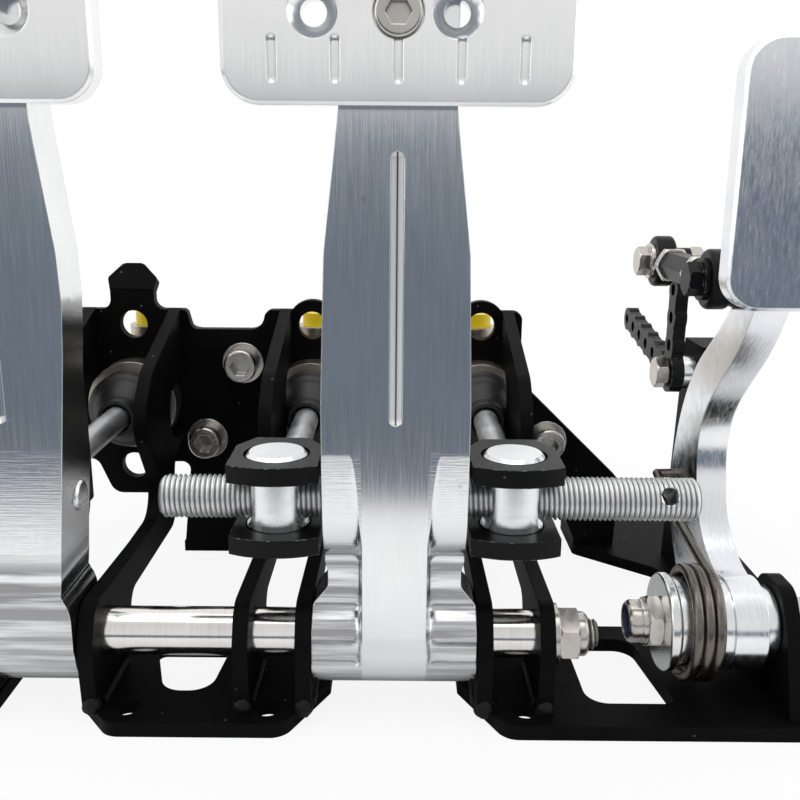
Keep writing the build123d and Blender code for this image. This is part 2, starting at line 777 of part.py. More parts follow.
def clevis(x):
    """Two ears joined by a bridge at the rear that takes the pushrod."""
    half_gap = clevis_gap / 2
    outline = clevis_plan(x)
    body = slab_xy(outline, bar_z + half_gap, bar_z + half_gap + clevis_ear)
    body += slab_xy(outline, bar_z - half_gap - clevis_ear, bar_z - half_gap)
    rear = clevis_rear_reach
    neck = clevis_neck_width / 2
    body += block(x - neck, x + neck, rear - clevis_bridge, rear, bar_z - half_gap, bar_z + half_gap)
    body -= cyl_z(trunnion_diameter / 2 + fit_clearance, bar_z - 30, bar_z + 30, x, 0)
    body -= cyl_y(pushrod_diameter / 2 + fit_clearance, 0, rear + 5, x, bar_z)
    return body


def pushrod(x, front, rear):
    """Plain rod with a ball at the piston end."""
    rod = cyl_y(pushrod_diameter / 2, front, rear, x, bar_z)
    return rod + Pos(x, rear, bar_z) * Sphere(pushrod_ball_radius)


def ball_seat_y():
    """Where the pushrod's ball sits in the piston's cup."""
    return piston_front + 8.0


def build_clevises():
    for name, side in (("left", -1), ("right", 1)):
        x = side * trunnion_spacing / 2
        save(f"{name}_trunnion", trunnion(x))
        save(f"{name}_clevis", clevis(x))
        start = clevis_rear_reach - clevis_bridge + 0.4
        save(f"{name}_pushrod", pushrod(x, start, ball_seat_y()))


def flange_outline(x):
    """Two-bolt flange of a master cylinder, as seen from the driver."""
    ears = [(x - side * bolt_dx, bar_z + side * bolt_dz) for side in (-1, 1)]
    angle = math.degrees(math.atan2(-bolt_dz, bolt_dx))
    bar = Pos(x, bar_z) * Rot(0, 0, angle) * Rectangle(flange_pitch, 16.0)
    outline = Pos(x, bar_z) * Circle(18.0) + bar
    for a, b in ears:
        outline += Pos(a, b) * Circle(8.0)
    for a, b in ears:
        outline -= Pos(a, b) * Circle(fastener_diameter / 2 + 0.2)
    return outline


def master_cylinder(x):
    """Cast body: flange, snout through the bulkhead, barrel, inlet boss and outlet boss."""
    tail = barrel_tail
    body = slab_xz(flange_outline(x), bulkhead_rear, flange_rear)
    body += cyl_y(snout_diameter / 2, bulkhead_front - snout_reach, flange_rear, x, bar_z)
    barrel = cyl_y(barrel_radius, flange_rear - 1, tail, x, bar_z)
    barrel = fillet(barrel.edges().filter_by(GeomType.CIRCLE).sort_by(Axis.Y)[-1], 2.5)
    body += barrel
    body += cyl_y(9.0, tail - 1, tail + tail_boss_length, x, bar_z)
    inlet_y = bulkhead_rear + inlet_setback
    body += cyl_z(inlet_radius, bar_z, bar_z + inlet_rise, x, inlet_y)
    body -= cyl_z(plug_diameter / 2 - 1.8, bar_z + 11.0, bar_z + inlet_rise + 1, x, inlet_y)
    bore_end = tail - 8.0
    body -= cyl_y(bore_diameter / 2, bulkhead_front - snout_reach - 1, bore_end, x, bar_z)
    body -= cyl_y(outlet_diameter / 2, tail + tail_boss_length - outlet_depth, tail + tail_boss_length + 1, x, bar_z)
    body -= cyl_y(1.5, bore_end - 1, tail, x, bar_z)
    return body


def piston(x):
    """Piston with a cup for the pushrod's ball."""
    radius = bore_diameter / 2 - fit_clearance
    body = cyl_y(radius, piston_front, piston_front + piston_length, x, bar_z)
    cup = pushrod_ball_radius + socket_clearance
    body -= cyl_y(cup, piston_front - 1, ball_seat_y(), x, bar_z)
    body -= Pos(x, ball_seat_y(), bar_z) * Sphere(cup)
    body -= cyl_y(radius + 1, piston_front + 22, piston_front + 24, x, bar_z) - cyl_y(
        radius - 1.2, piston_front + 22, piston_front + 24, x, bar_z)
    body += cyl_y(4.0, piston_front + piston_length - 1, piston_front + piston_length + 3, x, bar_z)
    return body


def dust_boot(x):
    """Rubber boot: a drum in the snout's mouth that steps down to the pushrod."""
    back = bulkhead_front - snout_reach - 0.02
    front = back - boot_reach
    profile = [
        (4.7, front),
        (6.2, front),
        (7.0, front + 6.0),
        (10.6, front + 9.0),
        (boot_radius, back - boot_drum),
        (boot_radius, back),
        (boot_radius - 2.0, back),
        (boot_radius - 2.0, back - boot_drum + 1.5),
        (4.7, front + 5.0),
    ]
    points = [(radius, y) for radius, y in profile]
    face = make_face(Polyline(*points, close=True))
    boot = revolve(face, Axis.Y)
    return Pos(x, 0, bar_z) * boot


def coil_spring(x, start, end, radius, wire, turns):
    """Compression spring with its axis along Y."""
    path = Helix((end - start - wire) / turns, end - start - wire, radius)
    section = Plane(origin=path @ 0, z_dir=path % 0) * Circle(wire / 2)
    coil = sweep(section, path=path)
    return Pos(x, start + wire / 2, bar_z) * Rot(-90, 0, 0) * coil


def build_cylinders():
    bolts = []
    washers = []
    nuts = []
    plugs = []
    boots = []
    springs = []
    tail = barrel_tail - 8.0
    for name, x in cylinder_places.items():
        save(f"{name}_cylinder", master_cylinder(x))
        save(f"{name}_piston", piston(x))
        boots.append(dust_boot(x))
        start = piston_front + piston_length + 0.3
        springs.append(coil_spring(x, start, tail - 0.3, 6.6, 1.6, 5))
        top = bar_z + inlet_rise
        inlet_y = bulkhead_rear + inlet_setback
        plug = cyl_z(plug_diameter / 2 - 1.9, top - 5.0, top + 0.5, x, inlet_y)
        plug += cyl_z(plug_diameter / 2, top + 0.02, top + plug_rise, x, inlet_y)
        plugs.append(plug)
        for side in (-1, 1):
            bolt_x = x - side * bolt_dx
            bolt_z = bar_z + side * bolt_dz
            bolts.append(cap_bolt(bolt_x, bolt_z))
            seat = bulkhead_front - 0.02
            washer = cyl_y(fastener_washer_diameter / 2, seat - fastener_washer_thickness, seat,
                           bolt_x, bolt_z)
            washers.append(washer - cyl_y(fastener_diameter / 2 + fit_clearance, 80, 120, bolt_x, bolt_z))
            nuts.append(plain_nut(bolt_x, flange_rear + 0.02, bolt_z))
    save("cylinder_bolts", Compound(children=bolts))
    save("cylinder_washers", Compound(children=washers))
    save("cylinder_nuts", Compound(children=nuts))
    save("inlet_plugs", Compound(children=plugs))
    save("dust_boots", Compound(children=boots))
    save("cylinder_springs", Compound(children=springs))


def cap_bolt(x, z):
    """Socket head bolt through the bulkhead and a cylinder flange."""
    seat = bulkhead_front - fastener_washer_thickness - 0.04
    head = cyl_y(socket_head_diameter / 2, seat - socket_head_height, seat, x, z)
    head = fillet(head.edges().filter_by(GeomType.CIRCLE).sort_by(Axis.Y)[0], 0.8)
    tip = flange_rear + 9.0
    shank = cyl_y(fastener_diameter / 2, seat - 0.5, tip, x, z)
    return head + shank - Pos(x, seat - socket_head_height, z) * hexagon_socket(6.0, 4.0)


def plain_nut(x, y, z):
    nut = Pos(x, y + 3.25, z) * hexagon(hex_across_flats, 6.5, Rot(90, 0, 0))
    return nut - cyl_y(fastener_diameter / 2 + fit_clearance, y - 1, y + 8, x, z)


def build_clutch_pedal():
    """Clutch arm with a slot at the back for the pushrod's eye, its pad and pin."""
    rear = arm_front + arm_thickness
    half = clutch_arm_width / 2
    side = rounded_polygon([
        (arm_front, pivot_height, 0),
        (0.0, pivot_height, 0),
        (hub_radius - 4.0, pivot_height + 9.0, 0),
        (7.5, bar_z - 10.0, 6.0),
        (7.5, bar_z + 10.0, 6.0),
        (rear, bar_z + 34.0, 14.0),
        (rear, arm_top_height, 0),
        (arm_front, arm_top_height, 0),
    ])
    side += Pos(0, pivot_height) * Circle(hub_radius)
    hub_half = clutch_hub_width / 2
    right = [
        (hub_half, 6.0, 0),
        (hub_half, pivot_height + 15.0, 3.0),
        (half, pivot_height + 20.0, 3.0),
        (half, bar_z + 27.0, 30.0),
        (arm_width_mid / 2, arm_mid_height, 30.0),
        (arm_width_top / 2, pad_bottom, 10.0),
        (arm_width_top / 2, arm_top_height, 6.0),
    ]
    left = [(-x, z, radius) for x, z, radius in reversed(right)]
    arm = slab_yz(side, -half, half) & slab_xz(rounded_polygon(right + left), -40, 40)
    arm -= cyl_x(shaft_diameter / 2 + 1.6, -hub_width, hub_width, 0, pivot_height)
    slot = clutch_tongue_width / 2 + seat_gap
    arm -= block(-slot, slot, -7.5, 20, bar_z - 13, bar_z + 13)
    arm -= cyl_x(pushrod_diameter / 2 + fit_clearance, -half - 1, half + 1, 0, bar_z)
    groove_y = arm_front - 0.25
    arm -= cyl_z(groove_radius, groove_bottom, groove_top, 0, groove_y)
    for z in (groove_bottom, groove_top):
        arm -= Pos(0, groove_y, z) * Sphere(groove_radius)
    for z in pad_screw_heights():
        depth = pad_screw_length - pad_thickness + pad_screw_head_height + 1.5
        arm -= cyl_y(pad_screw_diameter / 2 + fit_clearance, arm_front - 1, arm_front + depth, 0, z)
    save("clutch_arm", Pos(clutch_x, 0, 0) * arm)
    front = arm_front - pad_thickness
    width = 60.0
    plate = pad_plate(0, width, pad_height, pad_bottom, pad_thickness, front)
    plate = drill_pad(plate, 0, pad_screw_heights(), front)
    save("clutch_pad", Pos(clutch_x, 0, 0) * plate)
    screws = [socket_screw(clutch_x, front, z) for z in pad_screw_heights()]
    save("clutch_pad_screws", Compound(children=screws))
    eye_half = clutch_tongue_width / 2
    eye = cyl_x(7.2, clutch_x - eye_half, clutch_x + eye_half, 0, bar_z)
    eye += pushrod(clutch_x, 5.0, ball_seat_y())
    eye -= cyl_x(pushrod_diameter / 2 + fit_clearance, clutch_x - 9, clutch_x + 9, 0, bar_z)
    save("clutch_pushrod", eye)
    pin_half = clutch_pin_length / 2
    pin = cyl_x(pushrod_diameter / 2, clutch_x - pin_half, clutch_x + pin_half, 0, bar_z)
    save("clutch_pin", chamfer(pin.edges().filter_by(GeomType.CIRCLE), 0.6))


def throttle_arm_side():
    """Side view of the curved throttle arm: hub below, belly to the rear, pad seat above."""
    outline = make_face([
        Spline((throttle_y + 2, 9.2), (42.0, 17.5), (57.0, 38.0), (56.6, 58.0), (52.2, 71.0),
               (43.6, 84.5), (29.5, 96.5), (14.0, 112.0), (4.5, 132.0)),
        Line((4.5, 132.0), (-4.0, 132.0)),
        Spline((-4.0, 132.0), (2.0, 112.0), (12.0, 95.5), (26.0, 81.5), (34.5, 69.0),
               (34.5, 54.0), (27.0, 40.5), (10.0, 33.0), (throttle_y - 2, 34.0)),
        Line((throttle_y - 2, 34.0), (throttle_y + 2, 9.2)),
    ])
    return outline + Pos(throttle_y, throttle_z) * Circle(12.6)


def build_throttle_pedal():
    """Throttle arm and pad machined from one billet, with an ear for the drag link."""
    left = throttle_arm_left
    right = left + throttle_arm_thickness
    arm = slab_yz(throttle_arm_side(), left, right)
    ear = Pos(link_front, link_height) * Circle(7.0)
    ear += rounded_polygon([
        (6.0, link_height - 7.0, 0),
        (link_front, link_height - 7.0, 0),
        (link_front, link_height + 7.0, 0),
        (6.0, link_height + 7.0, 0),
    ])
    arm += slab_yz(ear, left, right)
    arm += cyl_x(throttle_boss_radius, boss_left, left + 1, throttle_y, throttle_z)
    arm += cyl_x(10.0, right - 1, throttle_hub_right, throttle_y, throttle_z)
    pad_left = 78.0
    front = -4.0
    plate = block(pad_left, pad_left + throttle_pad_width, front, front + throttle_pad_thickness,
                  throttle_pad_bottom, throttle_pad_bottom + throttle_pad_height)
    plate = fillet(plate.edges().filter_by(Axis.Y), pad_corner_radius)
    plate = chamfer(plate.faces().sort_by(Axis.Y)[0].edges(), pad_edge_chamfer)
    arm += plate
    arm -= cyl_x(throttle_bolt_diameter / 2 + fit_clearance, 60, 120, throttle_y, throttle_z)
    arm -= cyl_x(link_bolt_diameter / 2 + fit_clearance, 60, 120, link_front, link_height)
    save("throttle_arm", arm)


def build_throttle_pivot():
    """Lug, bolt, cup and nut that carry the throttle pedal and its spring."""
    lug_left = throttle_hub_right + lug_gap_clearance
    lug_right = lug_left + sheet
    profile = rounded_polygon([
        (-14.0, sheet, 0),
        (throttle_y - 12.5, throttle_z + 4.0, 6.0),
        (throttle_y - 6.0, throttle_z + 12.5, 7.0),
        (throttle_y + 6.0, throttle_z + 12.5, 7.0),
        (throttle_y + 12.5, throttle_z + 4.0, 6.0),
        (30.0, sheet, 0),
    ])
    lug = slab_yz(profile, lug_left, lug_right)
    bolt_radius = throttle_bolt_diameter / 2
    lug -= cyl_x(bolt_radius + fit_clearance, lug_left - 1, lug_right + 1, throttle_y, throttle_z)
    save("throttle_lug", lug)
    cup_right = boss_left - seat_gap
    cup_left = cup_right - cup_thickness
    cup = cyl_x(cup_diameter / 2, cup_left, cup_right, throttle_y, throttle_z)
    cup = fillet(cup.edges().filter_by(GeomType.CIRCLE), 0.9)
    cup -= cyl_x(bolt_radius + fit_clearance, cup_left - 1, cup_right + 1, throttle_y, throttle_z)
    save("spring_cup", cup)
    tip = cup_left - throttle_nut_height - 0.8
    bolt = cyl_x(bolt_radius, tip, lug_right + 0.5, throttle_y, throttle_z)
    head_x = lug_right + 0.02
    head = Pos(head_x + 2.65, throttle_y, throttle_z) * hexagon(hex_across_flats, 5.3, Rot(0, 90, 0))
    save("throttle_pivot_bolt", bolt + head)
    nut = locknut(cup_left - 0.02, -1, throttle_y, throttle_z, throttle_nut_height)
    save("throttle_pivot_nut", nut)


def build_throttle_spring():
    """Torsion spring: open coils, a leg hooked behind the arm and a leg on the floor plate."""
    wire = spring_wire_diameter / 2
    start_x = boss_left + wire + 0.9
    end_x = start_x + spring_pitch * spring_turns
    path = Helix(spring_pitch, spring_pitch * spring_turns, spring_mean_radius, lefthand=True)
    section = Plane(origin=path @ 0, z_dir=path % 0) * Circle(wire)
    coil = sweep(section, path=path)
    coil = Pos(start_x, throttle_y, throttle_z) * Rot(0, 90, 0) * coil
    top = throttle_z + spring_mean_radius
    bottom = throttle_z - spring_mean_radius
    hook_y = 59.6
    leg = Spline((end_x, throttle_y, top), (end_x, 20.0, 37.6), (end_x, 38.0, 40.4), (end_x, hook_y, 46.0),
                 tangents=((0, 1, 0), (0, 1, 0.3)))
    start = Plane(origin=leg @ 0, z_dir=leg % 0) * Circle(wire)
    spring = coil + sweep(start, path=leg)
    spring += Pos(end_x, hook_y, 46.0) * Sphere(wire)
    spring += cyl_x(wire, end_x, throttle_arm_left + 4.0, hook_y, 46.0)
    foot_z = sheet + wire + 0.1
    foot = Line((start_x, throttle_y, bottom), (start_x, 31.0, foot_z))
    spring += Pos(start_x, throttle_y, bottom) * Sphere(wire)
    spring += extrude(Plane(origin=foot @ 0, z_dir=foot % 0) * Circle(wire), foot.length)
    save("throttle_spring", spring)


def rod_end(y, way):
    """Eye on a short shank along Y."""
    half = rod_end_width / 2
    eye = cyl_x(rod_end_radius, link_x - half, link_x + half, y, link_height)
    eye = fillet(eye.edges().filter_by(GeomType.CIRCLE), 1.2)
    near, far = sorted((y + way * 4.0, y + way * rod_end_shank))
    return eye + cyl_y(link_thread_radius, near, far, link_x, link_height)


def build_link():
    """Drag link from the throttle arm to the bell crank: two rod ends, hex bar and jam nuts."""
    hole = link_bolt_diameter / 2
    front = rod_end(link_front, 1)
    rear = rod_end(crank_y, -1)
    front -= cyl_x(hole + fit_clearance, link_x - 9, link_x + 9, link_front, link_height)
    rear -= cyl_x(hole + link_play, link_x - 9, link_x + 9, crank_y, link_height)
    save("link_rod_ends", Compound(children=[front, rear]))
    middle = (link_front + crank_y) / 2
    half = link_hex_length / 2
    nut = 3.2
    bore = link_thread_radius + fit_clearance
    bar = Pos(link_x, middle, link_height) * hexagon(link_hex_across_flats, link_hex_length, Rot(90, 0, 0))
    bar -= cyl_y(bore, middle - half - 1, middle + half + 1, link_x, link_height)
    save("link_bar", bar)
    nuts = []
    for side in (-1, 1):
        y = middle + side * (half + 0.02 + nut / 2)
        jam = Pos(link_x, y, link_height) * hexagon(link_nut_across_flats, nut, Rot(90, 0, 0))
        nuts.append(jam - cyl_y(bore, y - 3, y + 3, link_x, link_height))
    save("link_nuts", Compound(children=nuts))


def link_bolt(y, last_face):
    """Hexagon head bolt and washer through a rod end, with a thin nut behind the lever."""
    seat = link_x - rod_end_width / 2 - 1.3
    head = Pos(seat - 1.9, y, link_height) * hexagon(8.0, 3.8, Rot(0, 90, 0))
    washer = cyl_x(5.6, seat - 0.1, seat + 1.25, y, link_height)
    shank = cyl_x(link_bolt_diameter / 2, seat - 1, last_face + 5.0, y, link_height)
    nut = Pos(last_face + 2.05, y, link_height) * hexagon(8.0, 4.0, Rot(0, 90, 0))
    return head + washer + shank + nut


def bead_row(face, start, angle, length, beads):
    """Scalloped lever: a row of round beads joined by a web, with a hole in each bead."""
    web = crank_bead_radius - 0.7
    turn = Pos(*start) * Rot(0, 0, angle)
    face += turn * Rectangle(length, 2 * web, align=(Align.MIN, Align.CENTER))
    for i in range(1, beads + 1):
        face += turn * Pos(length * i / beads, 0) * Circle(crank_bead_radius)
    for i in range(1, beads + 1):
        face -= turn * Pos(length * i / beads, 0) * Circle(crank_bead_hole_diameter / 2)
    return face


def build_bell_crank():
    """Drilled bell crank: an upright input arm and a rearward cable arm, scalloped edges."""
    right = crank_left + crank_thickness
    rise = link_height - crank_pivot_height
    pivot = (crank_y, crank_pivot_height)
    face = Pos(*pivot) * Circle(6.5)
    face = bead_row(face, pivot, 90, rise, 4)
    angle = math.degrees(math.atan2(output_arm_rise, output_arm_reach))
    face = bead_row(face, pivot, angle, math.hypot(output_arm_reach, output_arm_rise), 6)
    face -= Pos(*pivot) * Circle(link_bolt_diameter / 2 + fit_clearance)
    face -= Pos(crank_y, link_height) * Circle(link_bolt_diameter / 2 + fit_clearance)
    save("bell_crank", slab_yz(face, crank_left, right))
    save("rear_link_bolt", link_bolt(crank_y, right))
    save("front_link_bolt", link_bolt(link_front, throttle_arm_left + throttle_arm_thickness))
    bracket_left = 98.0
    bolt_radius = link_bolt_diameter / 2
    bolt = cyl_x(bolt_radius, crank_left - 2, bracket_left + sheet + 5.0, *pivot)
    bolt += Pos(crank_left - 2.3, *pivot) * hexagon(9.0, 4.0, Rot(0, 90, 0))
    bolt += Pos(bracket_left + sheet + 2.1, *pivot) * hexagon(8.0, 4.0, Rot(0, 90, 0))
    save("crank_pivot_bolt", bolt)
    spacer = cyl_x(5.5, right + 0.1, bracket_left - 0.1, *pivot)
    save("crank_spacer", spacer - cyl_x(bolt_radius + fit_clearance, 90, 99, *pivot))
    profile = rounded_polygon([
        (66.5, sheet, 0),
        (92.0, sheet, 0),
        (87.0, crank_pivot_height - 12.0, 8.0),
        (85.0, crank_pivot_height + 10.0, 3.0),
        (66.0, crank_pivot_height + 10.0, 3.0),
        (66.0, crank_pivot_height - 12.0, 8.0),
    ])
    bracket = slab_yz(profile, bracket_left, bracket_left + sheet)
    flange = block(bracket_left, bracket_left + 20.0, 66.0, 85.0,
                   crank_pivot_height + 7.0, crank_pivot_height + 10.0)
    bracket += fillet(flange.edges().filter_by(Axis.Z).group_by(Axis.X)[-1], 4.0)
    bracket -= cyl_x(bolt_radius + fit_clearance, 97, 103, *pivot)
    bracket -= cyl_z(3.2, 80, 90, bracket_left + 12.0, 75.5)
    save("crank_bracket", bracket)


build_side_plates()
build_bulkhead()
build_floor_plates()
build_shaft()
build_brake_arm()
build_brake_pad()
build_bushes()
build_balance_bar()
build_clevises()
build_cylinders()
build_clutch_pedal()
build_throttle_pedal()
build_throttle_pivot()
build_throttle_spring()
build_link()
build_bell_crank()
print(len(made), "nodes")
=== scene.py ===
import bpy
import bmesh
import math
from mathutils import Matrix, Vector


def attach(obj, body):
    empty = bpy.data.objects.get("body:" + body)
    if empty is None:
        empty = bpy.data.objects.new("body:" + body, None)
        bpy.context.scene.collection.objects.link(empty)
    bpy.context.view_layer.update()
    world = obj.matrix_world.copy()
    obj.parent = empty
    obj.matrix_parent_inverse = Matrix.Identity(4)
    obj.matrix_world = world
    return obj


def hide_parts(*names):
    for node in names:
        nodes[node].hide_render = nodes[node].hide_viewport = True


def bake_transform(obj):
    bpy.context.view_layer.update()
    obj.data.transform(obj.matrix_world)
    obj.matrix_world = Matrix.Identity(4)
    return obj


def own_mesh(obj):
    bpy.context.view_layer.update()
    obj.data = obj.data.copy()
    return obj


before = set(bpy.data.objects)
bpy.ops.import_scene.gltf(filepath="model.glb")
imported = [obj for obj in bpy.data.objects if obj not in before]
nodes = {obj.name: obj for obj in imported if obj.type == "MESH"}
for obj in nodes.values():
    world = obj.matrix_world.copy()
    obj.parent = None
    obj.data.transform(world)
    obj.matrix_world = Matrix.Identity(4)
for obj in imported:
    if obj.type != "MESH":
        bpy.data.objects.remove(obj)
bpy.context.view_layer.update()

# Places and sizes of the pedal box in millimetres, and the cross hole's tilt in degrees, as the solids
# have them: Y = 0 is the pedal axis
frame_middle_y = 88.0
pivot_z = 21.0
bar_z = 59.0
bar_left = -59.5
bar_right = 77.0
cross_hole_x = 68.9
cross_hole_radius = 2.25
cross_hole_tilt = 62.0
bar_diameter = 11.1125
bar_pitch = 1.27
shaft_left = -110.8
shaft_right = 41.5
shaft_radius = 6.35
shaft_chamfer = 0.6
shaft_thread_length = 12.2
shaft_thread_diameter = 8.0
shaft_thread_pitch = 1.25
cylinder_xs = {"clutch": -93.5, "left": -30.0, "right": 30.0}
arm_front = -13.0
throttle_y = 6.0
throttle_z = 21.7
throttle_nut_face = 65.88
nut_reach = 9.52
boot_back = 91.95
seat_radius = 8.3
seat_rim_radius = 8.65

# Distances in metres within which points are merged, or taken to lie in a cutting plane
same_point = 1e-6
same_seam = 2e-6
in_plane = 1e-7


def mm(x, y, z):
    """A point of the pedal box, in metres."""
    return Vector((x, y - frame_middle_y, z)) / 1000


def add_object(name, data):
    """An object with the data, in the scene's collection."""
    made = bpy.data.objects.new(name, data)
    bpy.context.scene.collection.objects.link(made)
    return made


# Camera and surroundings


def place_camera():
    """The photograph's view: just above the balance bar, looking slightly down."""
    film_width = 36
    focal_pixels = 905
    picture_pixels = 800
    shift_pixels = 5
    pitch = math.radians(14.106)
    yaw = math.radians(-0.119)
    roll = math.radians(0.417)
    ahead = Vector((math.sin(yaw) * math.cos(pitch), math.cos(yaw) * math.cos(pitch), -math.sin(pitch)))
    side = ahead.cross(Vector((0, 0, 1))).normalized()
    above = side.cross(ahead)
    right = side * math.cos(roll) + above * math.sin(roll)
    up = above * math.cos(roll) - side * math.sin(roll)
    data = bpy.data.cameras.new("photo camera")
    data.sensor_width = film_width
    data.lens = film_width * focal_pixels / picture_pixels
    data.shift_x = shift_pixels / picture_pixels
    data.clip_start = 0.01
    data.clip_end = 20
    camera = add_object("photo camera", data)
    turn = Matrix((right, up, -ahead)).transposed().to_4x4()
    camera.matrix_world = Matrix.Translation(mm(0.24, -218.4, 139.5)) @ turn
    bpy.context.scene.camera = camera


def node(tree, kind, **values):
    """A shader node with its settings and unlinked inputs."""
    made = tree.nodes.new(kind)
    for key, value in values.items():
        if hasattr(made, key):
            setattr(made, key, value)
        else:
            made.inputs[key.replace("_", " ")].default_value = value
    return made


def wire(tree, start, end):
    """Link an output to an input."""
    tree.links.new(start, end)


def remap(tree, value, low, high, start=0.0, end=1.0, interpolation_type="LINEAR"):
    """Stretch a mask to a range of values."""
    made = node(tree, "ShaderNodeMapRange", interpolation_type=interpolation_type)
    made.inputs["From Min"].default_value = start
    made.inputs["From Max"].default_value = end
    made.inputs["To Min"].default_value = low
    made.inputs["To Max"].default_value = high
    wire(tree, value, made.inputs["Value"])
    return made.outputs["Result"]


def product(tree, first, second, **values):
    """One mask times another."""
    made = node(tree, "ShaderNodeMath", operation="MULTIPLY", **values)
    wire(tree, first, made.inputs[0])
    wire(tree, second, made.inputs[1])
    return made.outputs[0]


def position(tree, label="Object"):
    """The three coordinates of a shaded point."""
    place = node(tree, "ShaderNodeTexCoord")
    split = node(tree, "ShaderNodeSeparateXYZ")
    wire(tree, place.outputs[label], split.inputs[0])
    return split


def absolute(tree, value):
    """A coordinate without its sign."""
    made = node(tree, "ShaderNodeMath", operation="ABSOLUTE")
    wire(tree, value, made.inputs[0])
    return made.outputs[0]


def white_share(tree, ray, reflected, seen):
    """Share of plain white that a ray meets, in a mirror or glass and straight from the camera."""
    mirrored = node(tree, "ShaderNodeMath", operation="ADD")
    wire(tree, ray.outputs["Is Glossy Ray"], mirrored.inputs[0])
    wire(tree, ray.outputs["Is Transmission Ray"], mirrored.inputs[1])
    share = node(tree, "ShaderNodeMath", operation="MULTIPLY_ADD", use_clamp=True)
    wire(tree, mirrored.outputs[0], share.inputs[0])
    wire(tree, reflected, share.inputs[1])
    wire(tree, seen, share.inputs[2])
    return share.outputs[0]


def build_surroundings():
    """White world behind; in front a dim room up to eye level, bright above it; and three softboxes."""
    world = bpy.data.worlds.new("studio")
    world.use_nodes = True
    tree = world.node_tree
    tree.nodes.clear()
    split = position(tree, "Generated")
    height = node(tree, "ShaderNodeValToRGB")
    ramp = height.color_ramp
    ramp.elements[0].position = 0.0
    ramp.elements[0].color = (0.10, 0.112, 0.132, 1)
    ramp.elements[1].position = 1.0
    ramp.elements[1].color = (0.74, 0.74, 0.75, 1)
    room = {
        0.43: (0.155, 0.186, 0.228, 1),
        0.531: (0.165, 0.198, 0.24, 1),
        0.543: (0.90, 0.90, 0.90, 1),
    }
    for spot, tone in room.items():
        ramp.elements.new(spot).color = tone
    wire(tree, remap(tree, split.outputs["Z"], 0.0, 1.0, -1.0, 1.0), height.inputs[0])
    front = remap(tree, split.outputs["Y"], 0.0, 1.0, 0.1, -0.75, "SMOOTHSTEP")
    light = node(tree, "ShaderNodeBackground", Strength=0.95)
    tone = blend_colour(tree, front, (0.66, 0.665, 0.67), height.outputs["Color"])
    wire(tree, tone, light.inputs["Color"])
    plain = node(tree, "ShaderNodeBackground", Color=(1, 1, 1, 1), Strength=1.0)
    ray = node(tree, "ShaderNodeLightPath")
    behind = node(tree, "ShaderNodeMath", operation="SUBTRACT")
    behind.inputs[0].default_value = 1.0
    wire(tree, front, behind.inputs[1])
    choose = node(tree, "ShaderNodeMixShader")
    share = white_share(tree, ray, behind.outputs[0], ray.outputs["Is Camera Ray"])
    wire(tree, share, choose.inputs["Fac"])
    wire(tree, light.outputs[0], choose.inputs[1])
    wire(tree, plain.outputs[0], choose.inputs[2])
    output = node(tree, "ShaderNodeOutputWorld")
    wire(tree, choose.outputs[0], output.inputs["Surface"])
    bpy.context.scene.world = world
    bpy.context.scene.view_settings.view_transform = "Standard"
    add_softbox("overhead softbox", mm(-40, -60, 620), mm(0, 40, 0), 0.55, 0.45, 1.1)
    add_softbox("left softbox", mm(-620, -120, 300), mm(0, 30, 60), 0.35, 0.5, 0.8)
    add_softbox("right softbox", mm(620, -60, 340), mm(0, 30, 60), 0.35, 0.5, 0.6)
    build_floor()


def add_softbox(name, place, target, width, height, power):
    """A rectangular lamp at a place, turned to its target."""
    data = bpy.data.lights.new(name, "AREA")
    data.shape = "RECTANGLE"
    data.size = width
    data.size_y = height
    data.energy = power
    turn = (target - place).to_track_quat("-Z", "Y").to_matrix().to_4x4()
    add_object(name, data).matrix_world = Matrix.Translation(place) @ turn


def build_floor():
    """White table top that ends in front of the pedals, and glows towards its open parts."""
    front_y = -178.0
    half_length = 1000.0
    below = 0.02
    bm = bmesh.new()
    bmesh.ops.create_grid(bm, x_segments=1, y_segments=1, size=half_length / 1000)
    bmesh.ops.scale(bm, vec=(1.6, 1.0, 1.0), verts=bm.verts)
    bmesh.ops.translate(bm, vec=mm(0, half_length + front_y, -below), verts=bm.verts)
    floor = finish_mesh(bm, "table top", None, None)
    material = bpy.data.materials.new("white table")
    material.use_nodes = True
    tree = material.node_tree
    paint = tree.nodes["Principled BSDF"]
    paint.inputs["Base Color"].default_value = (0.93, 0.935, 0.945, 1)
    paint.inputs["Roughness"].default_value = 0.6
    glow = node(tree, "ShaderNodeEmission", Color=(1, 1, 1, 1), Strength=1.0)
    ray = node(tree, "ShaderNodeLightPath")
    place = node(tree, "ShaderNodeTexCoord")
    away = node(tree, "ShaderNodeVectorMath", operation="LENGTH")
    wire(tree, place.outputs["Object"], away.inputs[0])
    fade = remap(tree, away.outputs["Value"], 0.88, 1.0, 0.10, 0.28, "SMOOTHSTEP")
    seen = product(tree, ray.outputs["Is Camera Ray"], fade)
    open_floor = remap(tree, away.outputs["Value"], 0.0, 0.90, 0.11, 0.24, "SMOOTHSTEP")
    mix = node(tree, "ShaderNodeMixShader")
    wire(tree, white_share(tree, ray, open_floor, seen), mix.inputs["Fac"])
    wire(tree, paint.outputs[0], mix.inputs[1])
    wire(tree, glow.outputs[0], mix.inputs[2])
    wire(tree, mix.outputs[0], tree.nodes["Material Output"].inputs["Surface"])
    floor.data.materials.append(material)


# Mesh helpers


